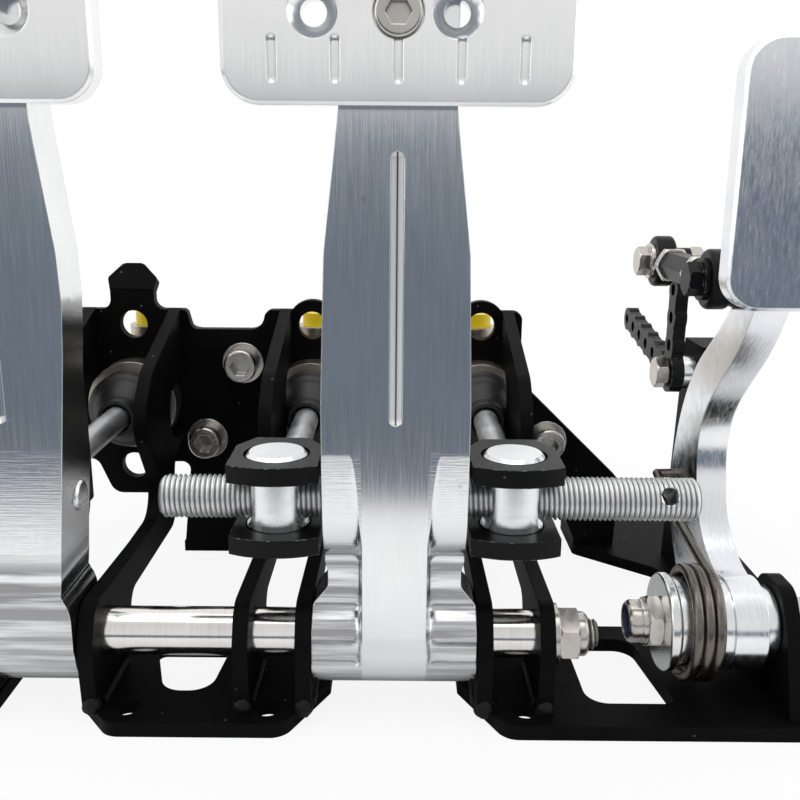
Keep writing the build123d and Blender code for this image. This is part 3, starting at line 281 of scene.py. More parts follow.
def finish_mesh(bm, name, material, body, smooth=35):
    """Turn a bmesh into an object, smooth up to an angle; with a body it rides on that."""
    bmesh.ops.recalc_face_normals(bm, faces=bm.faces)
    mesh = bpy.data.meshes.new(name)
    bm.to_mesh(mesh)
    bm.free()
    made = add_object(name, mesh)
    mesh.shade_smooth()
    mesh.set_sharp_from_angle(angle=math.radians(smooth))
    if material:
        mesh.materials.append(material)
    if body:
        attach(made, body)
    return made


def everything(bm):
    """All that a cut through a mesh has to be given."""
    return list(bm.verts) + list(bm.edges) + list(bm.faces)


def turned(bm, profile, axis, steps):
    """Spin a closed outline of (along, radius) points round the X or the Y axis."""
    along = Vector((1, 0, 0)) if axis == "X" else Vector((0, 1, 0))
    out = Vector((0, 0, 1))
    verts = [bm.verts.new((along * a + out * r) / 1000) for a, r in profile]
    edges = [bm.edges.new((verts[i], verts[(i + 1) % len(verts)])) for i in range(len(verts))]
    bmesh.ops.spin(bm, geom=verts + edges, cent=(0, 0, 0), axis=along, angle=math.tau, steps=steps,
                   use_merge=True)
    bmesh.ops.remove_doubles(bm, verts=bm.verts, dist=same_point)


def turned_piece(name, profile, axis, centre, material, body, steps=48):
    """A turned outline as a piece of its own, moved to its centre."""
    bm = bmesh.new()
    turned(bm, profile, axis, steps)
    bmesh.ops.translate(bm, vec=centre, verts=bm.verts)
    return finish_mesh(bm, name, material, body)


def threaded_rod(bm, start, end, major, pitch, steps, chamfer=1.1):
    """A rod with a real helical thread along X, cut square and chamfered at its ends."""
    top = major / 2
    low = top - 0.56 * pitch
    profile = [(0.0, low), (0.14, low), (0.5, top), (0.64, top), (1.0, low)]
    at_end = 1e-3
    turns = int(math.ceil((end - start) / pitch)) + 2
    origin = start - pitch
    verts = [bm.verts.new(((origin + a * pitch) / 1000, 0, r / 1000)) for a, r in profile]
    edges = [bm.edges.new((verts[i], verts[i + 1])) for i in range(len(verts) - 1)]
    step = pitch / steps / 1000
    bmesh.ops.spin(bm, geom=verts + edges, cent=(0, 0, 0), axis=(1, 0, 0), dvec=(step, 0, 0),
                   angle=math.tau * turns, steps=steps * turns)
    bmesh.ops.remove_doubles(bm, verts=bm.verts, dist=same_seam)
    for x, way in ((start, -1), (end, 1)):
        bmesh.ops.bisect_plane(bm, geom=everything(bm), dist=in_plane, plane_co=(x / 1000, 0, 0),
                               plane_no=(way, 0, 0), clear_outer=True)
        rim = [e for e in bm.edges
               if e.is_boundary and all(abs(v.co.x * 1000 - x) < at_end for v in e.verts)]
        bmesh.ops.holes_fill(bm, edges=rim, sides=0)
    for v in bm.verts:
        inset = min(v.co.x * 1000 - start, end - v.co.x * 1000)
        radius = math.hypot(v.co.y, v.co.z) * 1000
        limit = top - chamfer + max(inset, 0)
        if radius > limit:
            v.co.y *= limit / radius
            v.co.z *= limit / radius


# Shared surface effects


def effect(name, inputs, outputs):
    """An empty node group with named inputs and outputs."""
    tree = bpy.data.node_groups.new(name, "ShaderNodeTree")
    for label, kind, value in inputs:
        socket = tree.interface.new_socket(label, in_out="INPUT", socket_type=kind)
        if value is not None:
            socket.default_value = value
    for label, kind in outputs:
        tree.interface.new_socket(label, in_out="OUTPUT", socket_type=kind)
    return tree, tree.nodes.new("NodeGroupInput"), tree.nodes.new("NodeGroupOutput")


def make_streaks():
    """Fine parallel lines left by brushing, grinding or a milling cutter."""
    tree, gin, gout = effect("fine streaks", [
        ("Stretch", "NodeSocketVector", (1000, 1000, 20)),
        ("Depth", "NodeSocketFloat", 0.2),
        ("Normal", "NodeSocketVector", None),
    ], [("Streak", "NodeSocketFloat"), ("Normal", "NodeSocketVector")])
    place = node(tree, "ShaderNodeTexCoord")
    scale = node(tree, "ShaderNodeVectorMath", operation="MULTIPLY")
    wire(tree, place.outputs["Object"], scale.inputs[0])
    wire(tree, gin.outputs["Stretch"], scale.inputs[1])
    noise = node(tree, "ShaderNodeTexNoise", Scale=1.0, Detail=4.0, Roughness=0.65)
    wire(tree, scale.outputs[0], noise.inputs["Vector"])
    bump = node(tree, "ShaderNodeBump", Distance=0.0002)
    wire(tree, gin.outputs["Depth"], bump.inputs["Strength"])
    wire(tree, noise.outputs["Fac"], bump.inputs["Height"])
    wire(tree, gin.outputs["Normal"], bump.inputs["Normal"])
    wire(tree, noise.outputs["Fac"], gout.inputs["Streak"])
    wire(tree, bump.outputs["Normal"], gout.inputs["Normal"])
    return tree


def make_soft_edge():
    """Rounded light on an edge, and a mask of the edge itself."""
    tree, gin, gout = effect("soft edge", [("Sharpness", "NodeSocketFloat", 6.0)],
                             [("Edge", "NodeSocketFloat"), ("Normal", "NodeSocketVector")])
    rounding = node(tree, "ShaderNodeBevel", samples=4, Radius=0.0004)
    face = node(tree, "ShaderNodeNewGeometry")
    compare = node(tree, "ShaderNodeVectorMath", operation="DOT_PRODUCT")
    wire(tree, rounding.outputs[0], compare.inputs[0])
    wire(tree, face.outputs["Normal"], compare.inputs[1])
    part = node(tree, "ShaderNodeMath", operation="SUBTRACT", use_clamp=True)
    part.inputs[0].default_value = 1.0
    wire(tree, compare.outputs["Value"], part.inputs[1])
    edge = product(tree, part.outputs[0], gin.outputs["Sharpness"], use_clamp=True)
    wire(tree, edge, gout.inputs["Edge"])
    wire(tree, rounding.outputs[0], gout.inputs["Normal"])
    return tree


def make_specks():
    """Sparse small specks of dust, paint or pitting."""
    tree, gin, gout = effect("specks", [
        ("Grain", "NodeSocketFloat", 900.0),
        ("Amount", "NodeSocketFloat", 0.1),
    ], [("Speck", "NodeSocketFloat")])
    place = node(tree, "ShaderNodeTexCoord")
    cells = node(tree, "ShaderNodeTexVoronoi")
    wire(tree, place.outputs["Object"], cells.inputs["Vector"])
    wire(tree, gin.outputs["Grain"], cells.inputs["Scale"])
    near = remap(tree, cells.outputs["Distance"], 0.0, 1.0, 0.22, 0.08, "SMOOTHSTEP")
    tone = node(tree, "ShaderNodeSeparateColor")
    wire(tree, cells.outputs["Color"], tone.inputs[0])
    few = node(tree, "ShaderNodeMath", operation="LESS_THAN")
    wire(tree, tone.outputs["Red"], few.inputs[0])
    wire(tree, gin.outputs["Amount"], few.inputs[1])
    wire(tree, product(tree, near, few.outputs[0]), gout.inputs["Speck"])
    return tree


def make_cloud():
    """Slow change of tone over a surface."""
    tree, gin, gout = effect("slow tone", [
        ("Size", "NodeSocketFloat", 60.0),
        ("Low", "NodeSocketFloat", 0.8),
        ("High", "NodeSocketFloat", 1.0),
    ], [("Tone", "NodeSocketFloat")])
    place = node(tree, "ShaderNodeTexCoord")
    noise = node(tree, "ShaderNodeTexNoise", Detail=3.0, Roughness=0.55)
    wire(tree, place.outputs["Object"], noise.inputs["Vector"])
    wire(tree, gin.outputs["Size"], noise.inputs["Scale"])
    spread = node(tree, "ShaderNodeMapRange")
    spread.inputs["From Min"].default_value = 0.3
    spread.inputs["From Max"].default_value = 0.7
    wire(tree, noise.outputs["Fac"], spread.inputs["Value"])
    wire(tree, gin.outputs["Low"], spread.inputs["To Min"])
    wire(tree, gin.outputs["High"], spread.inputs["To Max"])
    wire(tree, spread.outputs["Result"], gout.inputs["Tone"])
    return tree


def make_grain():
    """Fine pebbled surface of baked powder or moulded rubber."""
    tree, gin, gout = effect("pebble grain", [
        ("Grain", "NodeSocketFloat", 2600.0),
        ("Depth", "NodeSocketFloat", 0.3),
        ("Normal", "NodeSocketVector", None),
    ], [("Height", "NodeSocketFloat"), ("Normal", "NodeSocketVector")])
    place = node(tree, "ShaderNodeTexCoord")
    noise = node(tree, "ShaderNodeTexNoise", Detail=2.0, Roughness=0.5)
    wire(tree, place.outputs["Object"], noise.inputs["Vector"])
    wire(tree, gin.outputs["Grain"], noise.inputs["Scale"])
    bump = node(tree, "ShaderNodeBump", Distance=0.0001)
    wire(tree, gin.outputs["Depth"], bump.inputs["Strength"])
    wire(tree, noise.outputs["Fac"], bump.inputs["Height"])
    wire(tree, gin.outputs["Normal"], bump.inputs["Normal"])
    wire(tree, noise.outputs["Fac"], gout.inputs["Height"])
    wire(tree, bump.outputs["Normal"], gout.inputs["Normal"])
    return tree


streaks = make_streaks()
soft_edge = make_soft_edge()
specks = make_specks()
slow_tone = make_cloud()
pebble = make_grain()


def use(tree, group, **values):
    """A shared effect placed in a material."""
    placed = tree.nodes.new("ShaderNodeGroup")
    placed.node_tree = group
    for key, value in values.items():
        placed.inputs[key].default_value = value
    return placed


def start_material(name, **values):
    """A material with a Principled shader and its plain values."""
    material = bpy.data.materials.new(name)
    material.use_nodes = True
    tree = material.node_tree
    shader = tree.nodes["Principled BSDF"]
    for key, value in values.items():
        shader.inputs[key.replace("_", " ")].default_value = value
    return material, tree, shader


def blend_colour(tree, factor, low, high):
    """Mix two colours or colour sockets by a mask."""
    mix = node(tree, "ShaderNodeMix", data_type="RGBA")
    wire(tree, factor, mix.inputs["Factor"])
    for label, tone in (("A", low), ("B", high)):
        if isinstance(tone, tuple):
            mix.inputs[label].default_value = (*tone, 1)
        else:
            wire(tree, tone, mix.inputs[label])
    return mix.outputs["Result"]


def metal(name, tone, dark, rough, stretch, depth, edge_highlight=None, rough_spread=0.08, bare=1.0):
    """Bare or plated metal with fine lines, slow change of tone, softened edges and, if given, a painted
    highlight along them.
    """
    material, tree, shader = start_material(name, Metallic=bare)
    edge = use(tree, soft_edge, Sharpness=5.0)
    lines = use(tree, streaks, Stretch=stretch, Depth=depth)
    wire(tree, edge.outputs["Normal"], lines.inputs["Normal"])
    wire(tree, lines.outputs["Normal"], shader.inputs["Normal"])
    cloud = use(tree, slow_tone, Size=70.0, Low=0.0, High=1.0)
    colour = blend_colour(tree, cloud.outputs["Tone"], dark, tone)
    fine = remap(tree, lines.outputs["Streak"], 0.0, 0.55, 0.35, 0.75)
    colour = blend_colour(tree, fine, colour, tuple(min(1.0, c * 1.12) for c in tone))
    # A paler edge colour is a painted highlight along the edges
    if edge_highlight:
        colour = blend_colour(tree, edge.outputs["Edge"], colour, edge_highlight)
    wire(tree, colour, shader.inputs["Base Color"])
    spread = remap(tree, lines.outputs["Streak"], rough - rough_spread, rough + rough_spread, 0.3, 0.7)
    wire(tree, spread, shader.inputs["Roughness"])
    return material


def painted(name, tone, light, rough, grain, depth, dust=0.05, chip=0.0, edge_light=0.10, gloss=0.25,
            shaded_seats=False):
    """Baked black finish: pebbled grain, dust specks and paler edges, a painted sheen."""
    material, tree, shader = start_material(name, Specular_IOR_Level=gloss)
    edge = use(tree, soft_edge, Sharpness=3.0)
    rough_skin = use(tree, pebble, Grain=grain, Depth=depth)
    wire(tree, edge.outputs["Normal"], rough_skin.inputs["Normal"])
    wire(tree, rough_skin.outputs["Normal"], shader.inputs["Normal"])
    cloud = use(tree, slow_tone, Size=45.0, Low=0.0, High=1.0)
    colour = blend_colour(tree, cloud.outputs["Tone"], tone, light)
    # The paler edges are a painted sheen, as strong as edge_light
    edge_sheen = remap(tree, edge.outputs["Edge"], 0.0, edge_light)
    colour = blend_colour(tree, edge_sheen, colour, (0.45, 0.45, 0.46))
    dots = use(tree, specks, Grain=420.0, Amount=dust)
    faint = remap(tree, dots.outputs["Speck"], 0.0, 0.16)
    colour = blend_colour(tree, faint, colour, (0.55, 0.54, 0.5))
    if chip:
        chips = use(tree, slow_tone, Size=620.0, Low=-3.2, High=3.0)
        worn = remap(tree, edge.outputs["Edge"], 0.0, chip, 0.35, 1.0)
        bare = product(tree, chips.outputs["Tone"], worn, use_clamp=True)
        colour = blend_colour(tree, bare, colour, (0.72, 0.72, 0.72))
    if shaded_seats:
        # Black ring without reflection: painted shade in the gap round each cross pin
        gap_shade = seat_gap_shade(tree)
        colour = blend_colour(tree, gap_shade, colour, (0.0, 0.0, 0.0))
        wire(tree, remap(tree, gap_shade, gloss, 0.0), shader.inputs["Specular IOR Level"])
    wire(tree, colour, shader.inputs["Base Color"])
    spread = remap(tree, rough_skin.outputs["Height"], rough - 0.06, rough + 0.06, 0.3, 0.7)
    wire(tree, spread, shader.inputs["Roughness"])
    return material


def seat_gap_shade(tree):
    """Mask of painted shade in the gap round the two cross pins, in the clevis ears."""
    split = position(tree)
    side = node(tree, "ShaderNodeMath", operation="SUBTRACT")
    side.inputs[1].default_value = cylinder_xs["right"] / 1000
    wire(tree, absolute(tree, split.outputs["X"]), side.inputs[0])
    along = node(tree, "ShaderNodeMath", operation="ADD")
    along.inputs[1].default_value = frame_middle_y / 1000
    wire(tree, split.outputs["Y"], along.inputs[0])
    flat = node(tree, "ShaderNodeCombineXYZ")
    wire(tree, side.outputs[0], flat.inputs["X"])
    wire(tree, along.outputs[0], flat.inputs["Y"])
    radius = node(tree, "ShaderNodeVectorMath", operation="LENGTH")
    wire(tree, flat.outputs[0], radius.inputs[0])
    return remap(tree, radius.outputs["Value"], 1.0, 0.0, seat_radius / 1000, seat_rim_radius / 1000)


def axis_distance(tree, middle):
    """How far a point lies from the line along X through the middle."""
    place = node(tree, "ShaderNodeTexCoord")
    move = node(tree, "ShaderNodeVectorMath", operation="SUBTRACT")
    wire(tree, place.outputs["Object"], move.inputs[0])
    move.inputs[1].default_value = middle
    flat = node(tree, "ShaderNodeVectorMath", operation="MULTIPLY")
    wire(tree, move.outputs[0], flat.inputs[0])
    flat.inputs[1].default_value = (0, 1, 1)
    radius = node(tree, "ShaderNodeVectorMath", operation="LENGTH")
    wire(tree, flat.outputs[0], radius.inputs[0])
    return radius.outputs["Value"]


def thread_material(name, tone, dark, middle, root, crest, rough):
    """Plated thread along X: bright crests, roots darkened as painted shade, and a few dark specks."""
    material, tree, shader = start_material(name, Metallic=1.0)
    height = remap(tree, axis_distance(tree, middle), 0.0, 1.0, root / 1000, crest / 1000)
    cloud = use(tree, slow_tone, Size=120.0, Low=0.0, High=1.0)
    metal_tone = blend_colour(tree, cloud.outputs["Tone"], tuple(c * 0.88 for c in tone), tone)
    # Darker towards the thread's roots: painted shade in the grooves
    colour = blend_colour(tree, height, dark, metal_tone)
    pits = use(tree, specks, Grain=900.0, Amount=0.06)
    colour = blend_colour(tree, pits.outputs["Speck"], colour, tuple(c * 0.5 for c in dark))
    wire(tree, colour, shader.inputs["Base Color"])
    wire(tree, remap(tree, height, 0.5, rough), shader.inputs["Roughness"])
    return material


def billet_material():
    """Machined arm: brushed lengthways, cutter lines across its cheeks and a groove in its face, with
    painted shade low down, painted highlights on its edges and painted light and shade in the groove.
    """
    # Heights, depths and half widths in metres between which each mask rises or falls
    cheek_side = (0.0079, 0.0084)
    cheek_top = (0.0745, 0.0765)
    band_top = (0.043, 0.049)
    floor_shade_height = (0.010, 0.036)
    groove_depth = (0.00008, 0.0002)
    groove_side = (0.0016, 0.0018)
    groove_end = (0.0805, 0.0810)
    shade_line_side = (0.0001, 0.0003)
    shade_rim_side = (0.00125, 0.00145)
    material, tree, shader = start_material("brushed billet arm", Metallic=1.0, Anisotropic=0.35)
    edge = use(tree, soft_edge, Sharpness=5.0)
    brush = use(tree, streaks, Stretch=(5200, 5200, 70), Depth=0.10)
    passes = use(tree, streaks, Stretch=(60, 60, 2600), Depth=0.16)
    wire(tree, edge.outputs["Normal"], brush.inputs["Normal"])
    wire(tree, edge.outputs["Normal"], passes.inputs["Normal"])
    split = position(tree)
    out = absolute(tree, split.outputs["X"])
    beside = remap(tree, out, 0.0, 1.0, *cheek_side)
    below = remap(tree, split.outputs["Z"], 1.0, 0.0, *cheek_top)
    cheek = product(tree, beside, below, use_clamp=True)
    bend = node(tree, "ShaderNodeMix", data_type="VECTOR")
    wire(tree, cheek, bend.inputs["Factor"])
    wire(tree, brush.outputs["Normal"], bend.inputs["A"])
    wire(tree, passes.outputs["Normal"], bend.inputs["B"])
    wire(tree, bend.outputs["Result"], shader.inputs["Normal"])
    cloud = use(tree, slow_tone, Size=38.0, Low=0.0, High=1.0)
    base = blend_colour(tree, cloud.outputs["Tone"], (0.79, 0.80, 0.81), (0.91, 0.92, 0.92))
    fine = remap(tree, brush.outputs["Streak"], 0.0, 0.8, 0.38, 0.72)
    base = blend_colour(tree, fine, base, (0.97, 0.97, 0.96))
    cross = remap(tree, passes.outputs["Streak"], 0.0, 0.5, 0.38, 0.72)
    milled = blend_colour(tree, cross, (0.84, 0.85, 0.87), (0.96, 0.96, 0.96))
    wide = use(tree, streaks, Stretch=(12, 12, 300), Depth=0.0)
    low = remap(tree, split.outputs["Z"], 1.0, 0.0, *band_top)
    band = product(tree, remap(tree, wide.outputs["Streak"], 0.0, 1.0, 0.38, 0.56), low)
    milled = blend_colour(tree, band, milled, (0.31, 0.31, 0.32))
    base = blend_colour(tree, cheek, base, milled)
    # Painted shade: the base tone darkens towards the hub's bottom, where the metal sees the shaded
    # floor
    floor_shade = remap(tree, split.outputs["Z"], 0.6, 0.0, *floor_shade_height)
    base = blend_colour(tree, floor_shade, base, (0.60, 0.60, 0.59))
    scratch = use(tree, specks, Grain=260.0, Amount=0.05)
    base = blend_colour(tree, remap(tree, scratch.outputs["Speck"], 0.0, 0.25), base, (0.35, 0.36, 0.4))
    # Paler edges: a painted highlight along the edges
    base = blend_colour(tree, remap(tree, edge.outputs["Edge"], 0.0, 0.6), base, (0.97, 0.97, 0.98))
    deep = node(tree, "ShaderNodeMath", operation="ADD")
    deep.inputs[1].default_value = (frame_middle_y - arm_front) / 1000
    wire(tree, split.outputs["Y"], deep.inputs[0])
    sunk = remap(tree, deep.outputs[0], 0.0, 1.0, *groove_depth)
    narrow = remap(tree, out, 1.0, 0.0, *groove_side)
    high = remap(tree, split.outputs["Z"], 0.0, 1.0, *groove_end)
    inside = product(tree, product(tree, sunk, narrow), high)
    # Groove colour: painted shade as a dark centre line and dark rims, painted reflection as bright
    # walls between them
    line = remap(tree, out, 0.0, 1.0, *shade_line_side)
    rim = remap(tree, out, 1.0, 0.25, *shade_rim_side)
    groove_light_and_shade = blend_colour(tree, product(tree, line, rim), (0.12, 0.13, 0.15), (0.98, 0.98, 0.98))
    base = blend_colour(tree, inside, base, groove_light_and_shade)
    wire(tree, base, shader.inputs["Base Color"])
    plain_rough = remap(tree, brush.outputs["Streak"], 0.12, 0.24, 0.3, 0.7)
    rough = node(tree, "ShaderNodeMix", data_type="FLOAT")
    wire(tree, inside, rough.inputs[0])
    wire(tree, plain_rough, rough.inputs[2])
    rough.inputs[3].default_value = 0.62
    wire(tree, rough.outputs[0], shader.inputs["Roughness"])
    return material


def ring_lines_material(name, tone, centre, rough, fineness):
    """Turned end face: fine rings about a line along X."""
    material, tree, shader = start_material(name, Metallic=1.0)
    rings = node(tree, "ShaderNodeTexNoise", noise_dimensions="1D", Scale=fineness, Detail=3.0)
    wire(tree, axis_distance(tree, centre), rings.inputs["W"])
    edge = use(tree, soft_edge, Sharpness=5.0)
    bump = node(tree, "ShaderNodeBump", Strength=0.12, Distance=0.0002)
    wire(tree, rings.outputs["Fac"], bump.inputs["Height"])
    wire(tree, edge.outputs["Normal"], bump.inputs["Normal"])
    wire(tree, bump.outputs["Normal"], shader.inputs["Normal"])
    colour = blend_colour(tree, remap(tree, rings.outputs["Fac"], 0.0, 1.0, 0.35, 0.7),
                          tuple(c * 0.86 for c in tone), tone)
    wire(tree, colour, shader.inputs["Base Color"])
    spread = remap(tree, rings.outputs["Fac"], rough - 0.08, rough + 0.08, 0.3, 0.7)
    wire(tree, spread, shader.inputs["Roughness"])
    return material


def soft_skin(name, tone, light, rough, grain, depth):
    """Moulded rubber or nylon."""
    material, tree, shader = start_material(name)
    skin = use(tree, pebble, Grain=grain, Depth=depth)
    wire(tree, skin.outputs["Normal"], shader.inputs["Normal"])
    cloud = use(tree, slow_tone, Size=90.0, Low=0.0, High=1.0)
    wire(tree, blend_colour(tree, cloud.outputs["Tone"], tone, light), shader.inputs["Base Color"])
    spread = remap(tree, skin.outputs["Height"], rough - 0.08, rough + 0.08, 0.3, 0.7)
    wire(tree, spread, shader.inputs["Roughness"])
    return material


brushed_arm = billet_material()
pad_face = metal("brushed pad plate", (0.96, 0.96, 0.95), (0.91, 0.91, 0.90), 0.15,
                 (4200, 4200, 90), 0.04, edge_highlight=(0.98, 0.98, 0.98), rough_spread=0.05, bare=0.9)
throttle_alloy = metal("machined throttle arm", (0.90, 0.91, 0.93), (0.74, 0.77, 0.82), 0.20,
                       (1800, 300, 300), 0.10, edge_highlight=(0.98, 0.98, 0.98))
powder = painted("black powder coat", (0.0022, 0.0022, 0.0024), (0.0045, 0.0045, 0.005), 0.48, 1500, 0.3,
                 edge_light=0.004, gloss=0.05)
clevis_paint = painted("black clevis finish", (0.0030, 0.0030, 0.0032), (0.006, 0.006, 0.0064), 0.36,
                       2400, 0.2, dust=0.02, chip=0.8, edge_light=0.02, gloss=0.15, shaded_seats=True)
zinc_thread = thread_material("zinc plated thread", (0.92, 0.94, 0.93), (0.24, 0.25, 0.25),
                              mm(0, 0, bar_z), 4.86, 5.06, 0.40)
bright_zinc = metal("bright zinc plate", (0.86, 0.89, 0.89), (0.77, 0.80, 0.80), 0.24,
                    (90, 90, 500), 0.004)
rod_zinc = metal("zinc plated rod", (0.95, 0.96, 0.97), (0.84, 0.86, 0.88), 0.44, (220, 120, 220), 0.03)
stainless = metal("warm stainless steel", (0.60, 0.57, 0.53), (0.44, 0.41, 0.38), 0.24,
                  (500, 500, 500), 0.006, edge_highlight=(0.80, 0.78, 0.75), rough_spread=0.04)
shaft_thread = thread_material("stainless shaft thread", (0.74, 0.70, 0.66), (0.12, 0.11, 0.10),
                               mm(0, 0, pivot_z), 3.32, 3.7, 0.32)
ground_shaft = metal("ground steel shaft", (0.84, 0.82, 0.79), (0.72, 0.70, 0.67), 0.13,
                     (2400, 60, 60), 0.04, rough_spread=0.05)
bearing_steel = metal("bearing steel", (0.66, 0.67, 0.69), (0.5, 0.51, 0.53), 0.25,
                      (900, 200, 200), 0.05)
bronze = metal("oiled bronze", (0.72, 0.52, 0.27), (0.5, 0.35, 0.17), 0.32, (900, 200, 200), 0.06)
cast_body = metal("plated cylinder body", (0.60, 0.54, 0.47), (0.42, 0.38, 0.33), 0.36,
                  (600, 600, 600), 0.12)
spring_steel = metal("oil tempered spring wire", (0.19, 0.17, 0.15), (0.11, 0.10, 0.085), 0.30,
                     (260, 900, 900), 0.10)
turned_cup = ring_lines_material("turned spring cup", (0.90, 0.90, 0.89), mm(0, throttle_y, throttle_z),
                                 0.22, 3800)
boot_rubber = soft_skin("boot rubber", (0.009, 0.009, 0.01), (0.018, 0.018, 0.02), 0.5, 1800, 0.3)
yellow_plug = soft_skin("yellow plug", (0.86, 0.62, 0.01), (0.93, 0.72, 0.02), 0.38, 1400, 0.15)
navy_nylon = soft_skin("navy nylon insert", (0.008, 0.010, 0.045), (0.014, 0.018, 0.07), 0.35,
                       1600, 0.15)
weld_coat = painted("coated weld", (0.0022, 0.0022, 0.0024), (0.005, 0.005, 0.0055), 0.5, 900, 0.4,
                    dust=0.04, gloss=0.2)


def dress_nodes():
    """Give each solid its finish."""
    finishes = {
        brushed_arm: ["brake_arm", "clutch_arm"],
        pad_face: ["brake_pad", "clutch_pad"],
        throttle_alloy: ["throttle_arm"],
        powder: ["bulkhead", "rear_foot_plate", "left_base_plate", "right_base_plate",
                 "clutch_base_plate", "clutch_left_plate", "clutch_right_plate", "brake_left_plate",
                 "brake_left_lug", "brake_right_lug", "brake_right_plate", "throttle_lug",
                 "crank_bracket"],
        clevis_paint: ["left_clevis", "right_clevis", "bell_crank", "link_bar", "link_rod_ends",
                       "front_link_bolt"],
        zinc_thread: ["balance_bar"],
        bright_zinc: ["left_trunnion", "right_trunnion", "crank_spacer", "clutch_pin"],
        rod_zinc: ["left_pushrod", "right_pushrod", "clutch_pushrod"],
        stainless: ["shaft_nuts", "shaft_washers", "cylinder_bolts", "cylinder_washers", "cylinder_nuts",
                    "throttle_pivot_bolt", "throttle_pivot_nut", "brake_pad_screws", "clutch_pad_screws",
                    "link_nuts", "rear_link_bolt", "crank_pivot_bolt"],
        ground_shaft: ["pivot_shaft"],
        bearing_steel: ["bar_sleeve", "bearing_ball", "clutch_piston", "left_piston", "right_piston"],
        bronze: ["brake_bushes", "clutch_bushes"],
        cast_body: ["clutch_cylinder", "left_cylinder", "right_cylinder"],
        boot_rubber: ["dust_boots"],
        yellow_plug: ["inlet_plugs"],
        spring_steel: ["throttle_spring", "cylinder_springs"],
        turned_cup: ["spring_cup"],
    }
    for material, names in finishes.items():
        for name in names:
            mesh = nodes[name].data
            for index in range(len(mesh.materials)):
                mesh.materials[index] = material


def build_threaded_bar():
    """Balance bar with its real thread and the slanting cross hole near its right end."""
    bm = bmesh.new()
    threaded_rod(bm, bar_left, bar_right, bar_diameter, bar_pitch, steps=32)
    bmesh.ops.translate(bm, vec=mm(0, 0, bar_z), verts=bm.verts)
    bar = finish_mesh(bm, "threaded_balance_bar", zinc_thread, None, smooth=25)
    cutter_bm = bmesh.new()
    radius = cross_hole_radius / 1000
    bmesh.ops.create_cone(cutter_bm, cap_ends=True, segments=32, radius1=radius, radius2=radius,
                          depth=0.02)
    turn = Matrix.Rotation(math.radians(cross_hole_tilt), 4, "X")
    place = Matrix.Translation(mm(cross_hole_x, 0, bar_z))
    bmesh.ops.transform(cutter_bm, matrix=place @ turn, verts=cutter_bm.verts)
    cutter = finish_mesh(cutter_bm, "cross_hole_cutter", None, None)
    cut = bar.modifiers.new("cross hole", "BOOLEAN")
    cut.object = cutter
    cut.solver = "EXACT"
    apply_modifiers(bar)
    bpy.data.objects.remove(cutter)
    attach(bar, "bar")
    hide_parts("balance_bar")


def apply_modifiers(obj):
    """Keep the shape that the modifiers give."""
    view = bpy.context.evaluated_depsgraph_get()
    shaped = bpy.data.meshes.new_from_object(obj.evaluated_get(view))
    obj.modifiers.clear()
    obj.data = shaped


def build_pivot_shaft():
    """Ground shaft with a threaded end each side."""
    bm = bmesh.new()
    low, high = shaft_left, shaft_right
    end_radius = shaft_radius - shaft_chamfer
    profile = [(low, 0), (low, end_radius), (low + shaft_chamfer, shaft_radius),
               (high - shaft_chamfer, shaft_radius), (high, end_radius), (high, 0)]
    turned(bm, profile, "X", 64)
    bmesh.ops.translate(bm, vec=mm(0, 0, pivot_z), verts=bm.verts)
    shaft = finish_mesh(bm, "ground_pivot_shaft", ground_shaft, "chassis")
    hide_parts("pivot_shaft")
    reach = shaft_thread_length
    for side, start, end in (("left", low - reach, low + 0.3), ("right", high - 0.3, high + reach)):
        bm = bmesh.new()
        threaded_rod(bm, start, end, shaft_thread_diameter, shaft_thread_pitch, steps=28, chamfer=0.8)
        bmesh.ops.translate(bm, vec=mm(0, 0, pivot_z), verts=bm.verts)
        thread = finish_mesh(bm, f"shaft_thread_{side}", shaft_thread, "chassis", smooth=25)
        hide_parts("pivot_shaft")


def build_boots():
    """Rubber boots with a drum, a shoulder and a cone that grips the pushrod."""
    outline = [
        (0, 11.0), (0, 13.0), (1.2, 13.0), (1.6, 12.6), (2.6, 12.6), (3.0, 13.0),
        (7.6, 13.0), (8.6, 12.4), (9.2, 11.2), (9.8, 10.4), (12.4, 9.4), (13.2, 8.6),
        (15.0, 6.9), (18.2, 6.5), (18.9, 6.1), (18.9, 5.0), (14.0, 5.0), (7.0, 11.0),
    ]
    profile = [(boot_back - ahead, radius) for ahead, radius in outline]
    for side, x in cylinder_xs.items():
        centre = mm(x, 0, bar_z)
        boot = turned_piece(f"{side}_rubber_boot", profile, "Y", centre, boot_rubber, "chassis", 56)
        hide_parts("dust_boots")


def copied_mesh(name, middle=None):
    """A merged copy of a solid's mesh; with a middle, only the one of three that lies there along X."""
    reach = 14.0
    bm = bmesh.new()
    bm.from_mesh(nodes[name].data)
    bmesh.ops.remove_doubles(bm, verts=bm.verts, dist=same_seam)
    if middle is not None:
        far = [v for v in bm.verts if abs(v.co.x * 1000 - middle) > reach]
        bmesh.ops.delete(bm, geom=far, context="VERTS")
    return bm


def build_springs():
    """Return springs for the three cylinders, each with a mesh of its own, and the throttle's spring as
    a separate piece.
    """
    for side, x in cylinder_xs.items():
        bm = copied_mesh("cylinder_springs", x)
        spring = finish_mesh(bm, f"{side}_return_spring", spring_steel, "chassis", 60)
        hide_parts("cylinder_springs")
        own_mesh(spring)
    bm = copied_mesh("throttle_spring")
    spring = finish_mesh(bm, "bending_throttle_spring", spring_steel, None, 60)
    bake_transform(spring)
    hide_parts("throttle_spring")


def clutch_half_width(z):
    """Half the width of the clutch arm at a height: a waist above the hub, widest below the pad."""
    steps = [
        (30.0, 12.7), (33.0, 12.4), (36.5, 10.8), (63.0, 13.2),
        (97.0, 16.2), (110.0, 17.0), (122.0, 16.6), (152.0, 13.0),
    ]
    for (low, first), (high, second) in zip(steps, steps[1:]):
        if z <= high:
            share = max(0.0, (z - low) / (high - low))
            return first + (second - first) * share
    return steps[-1][1]


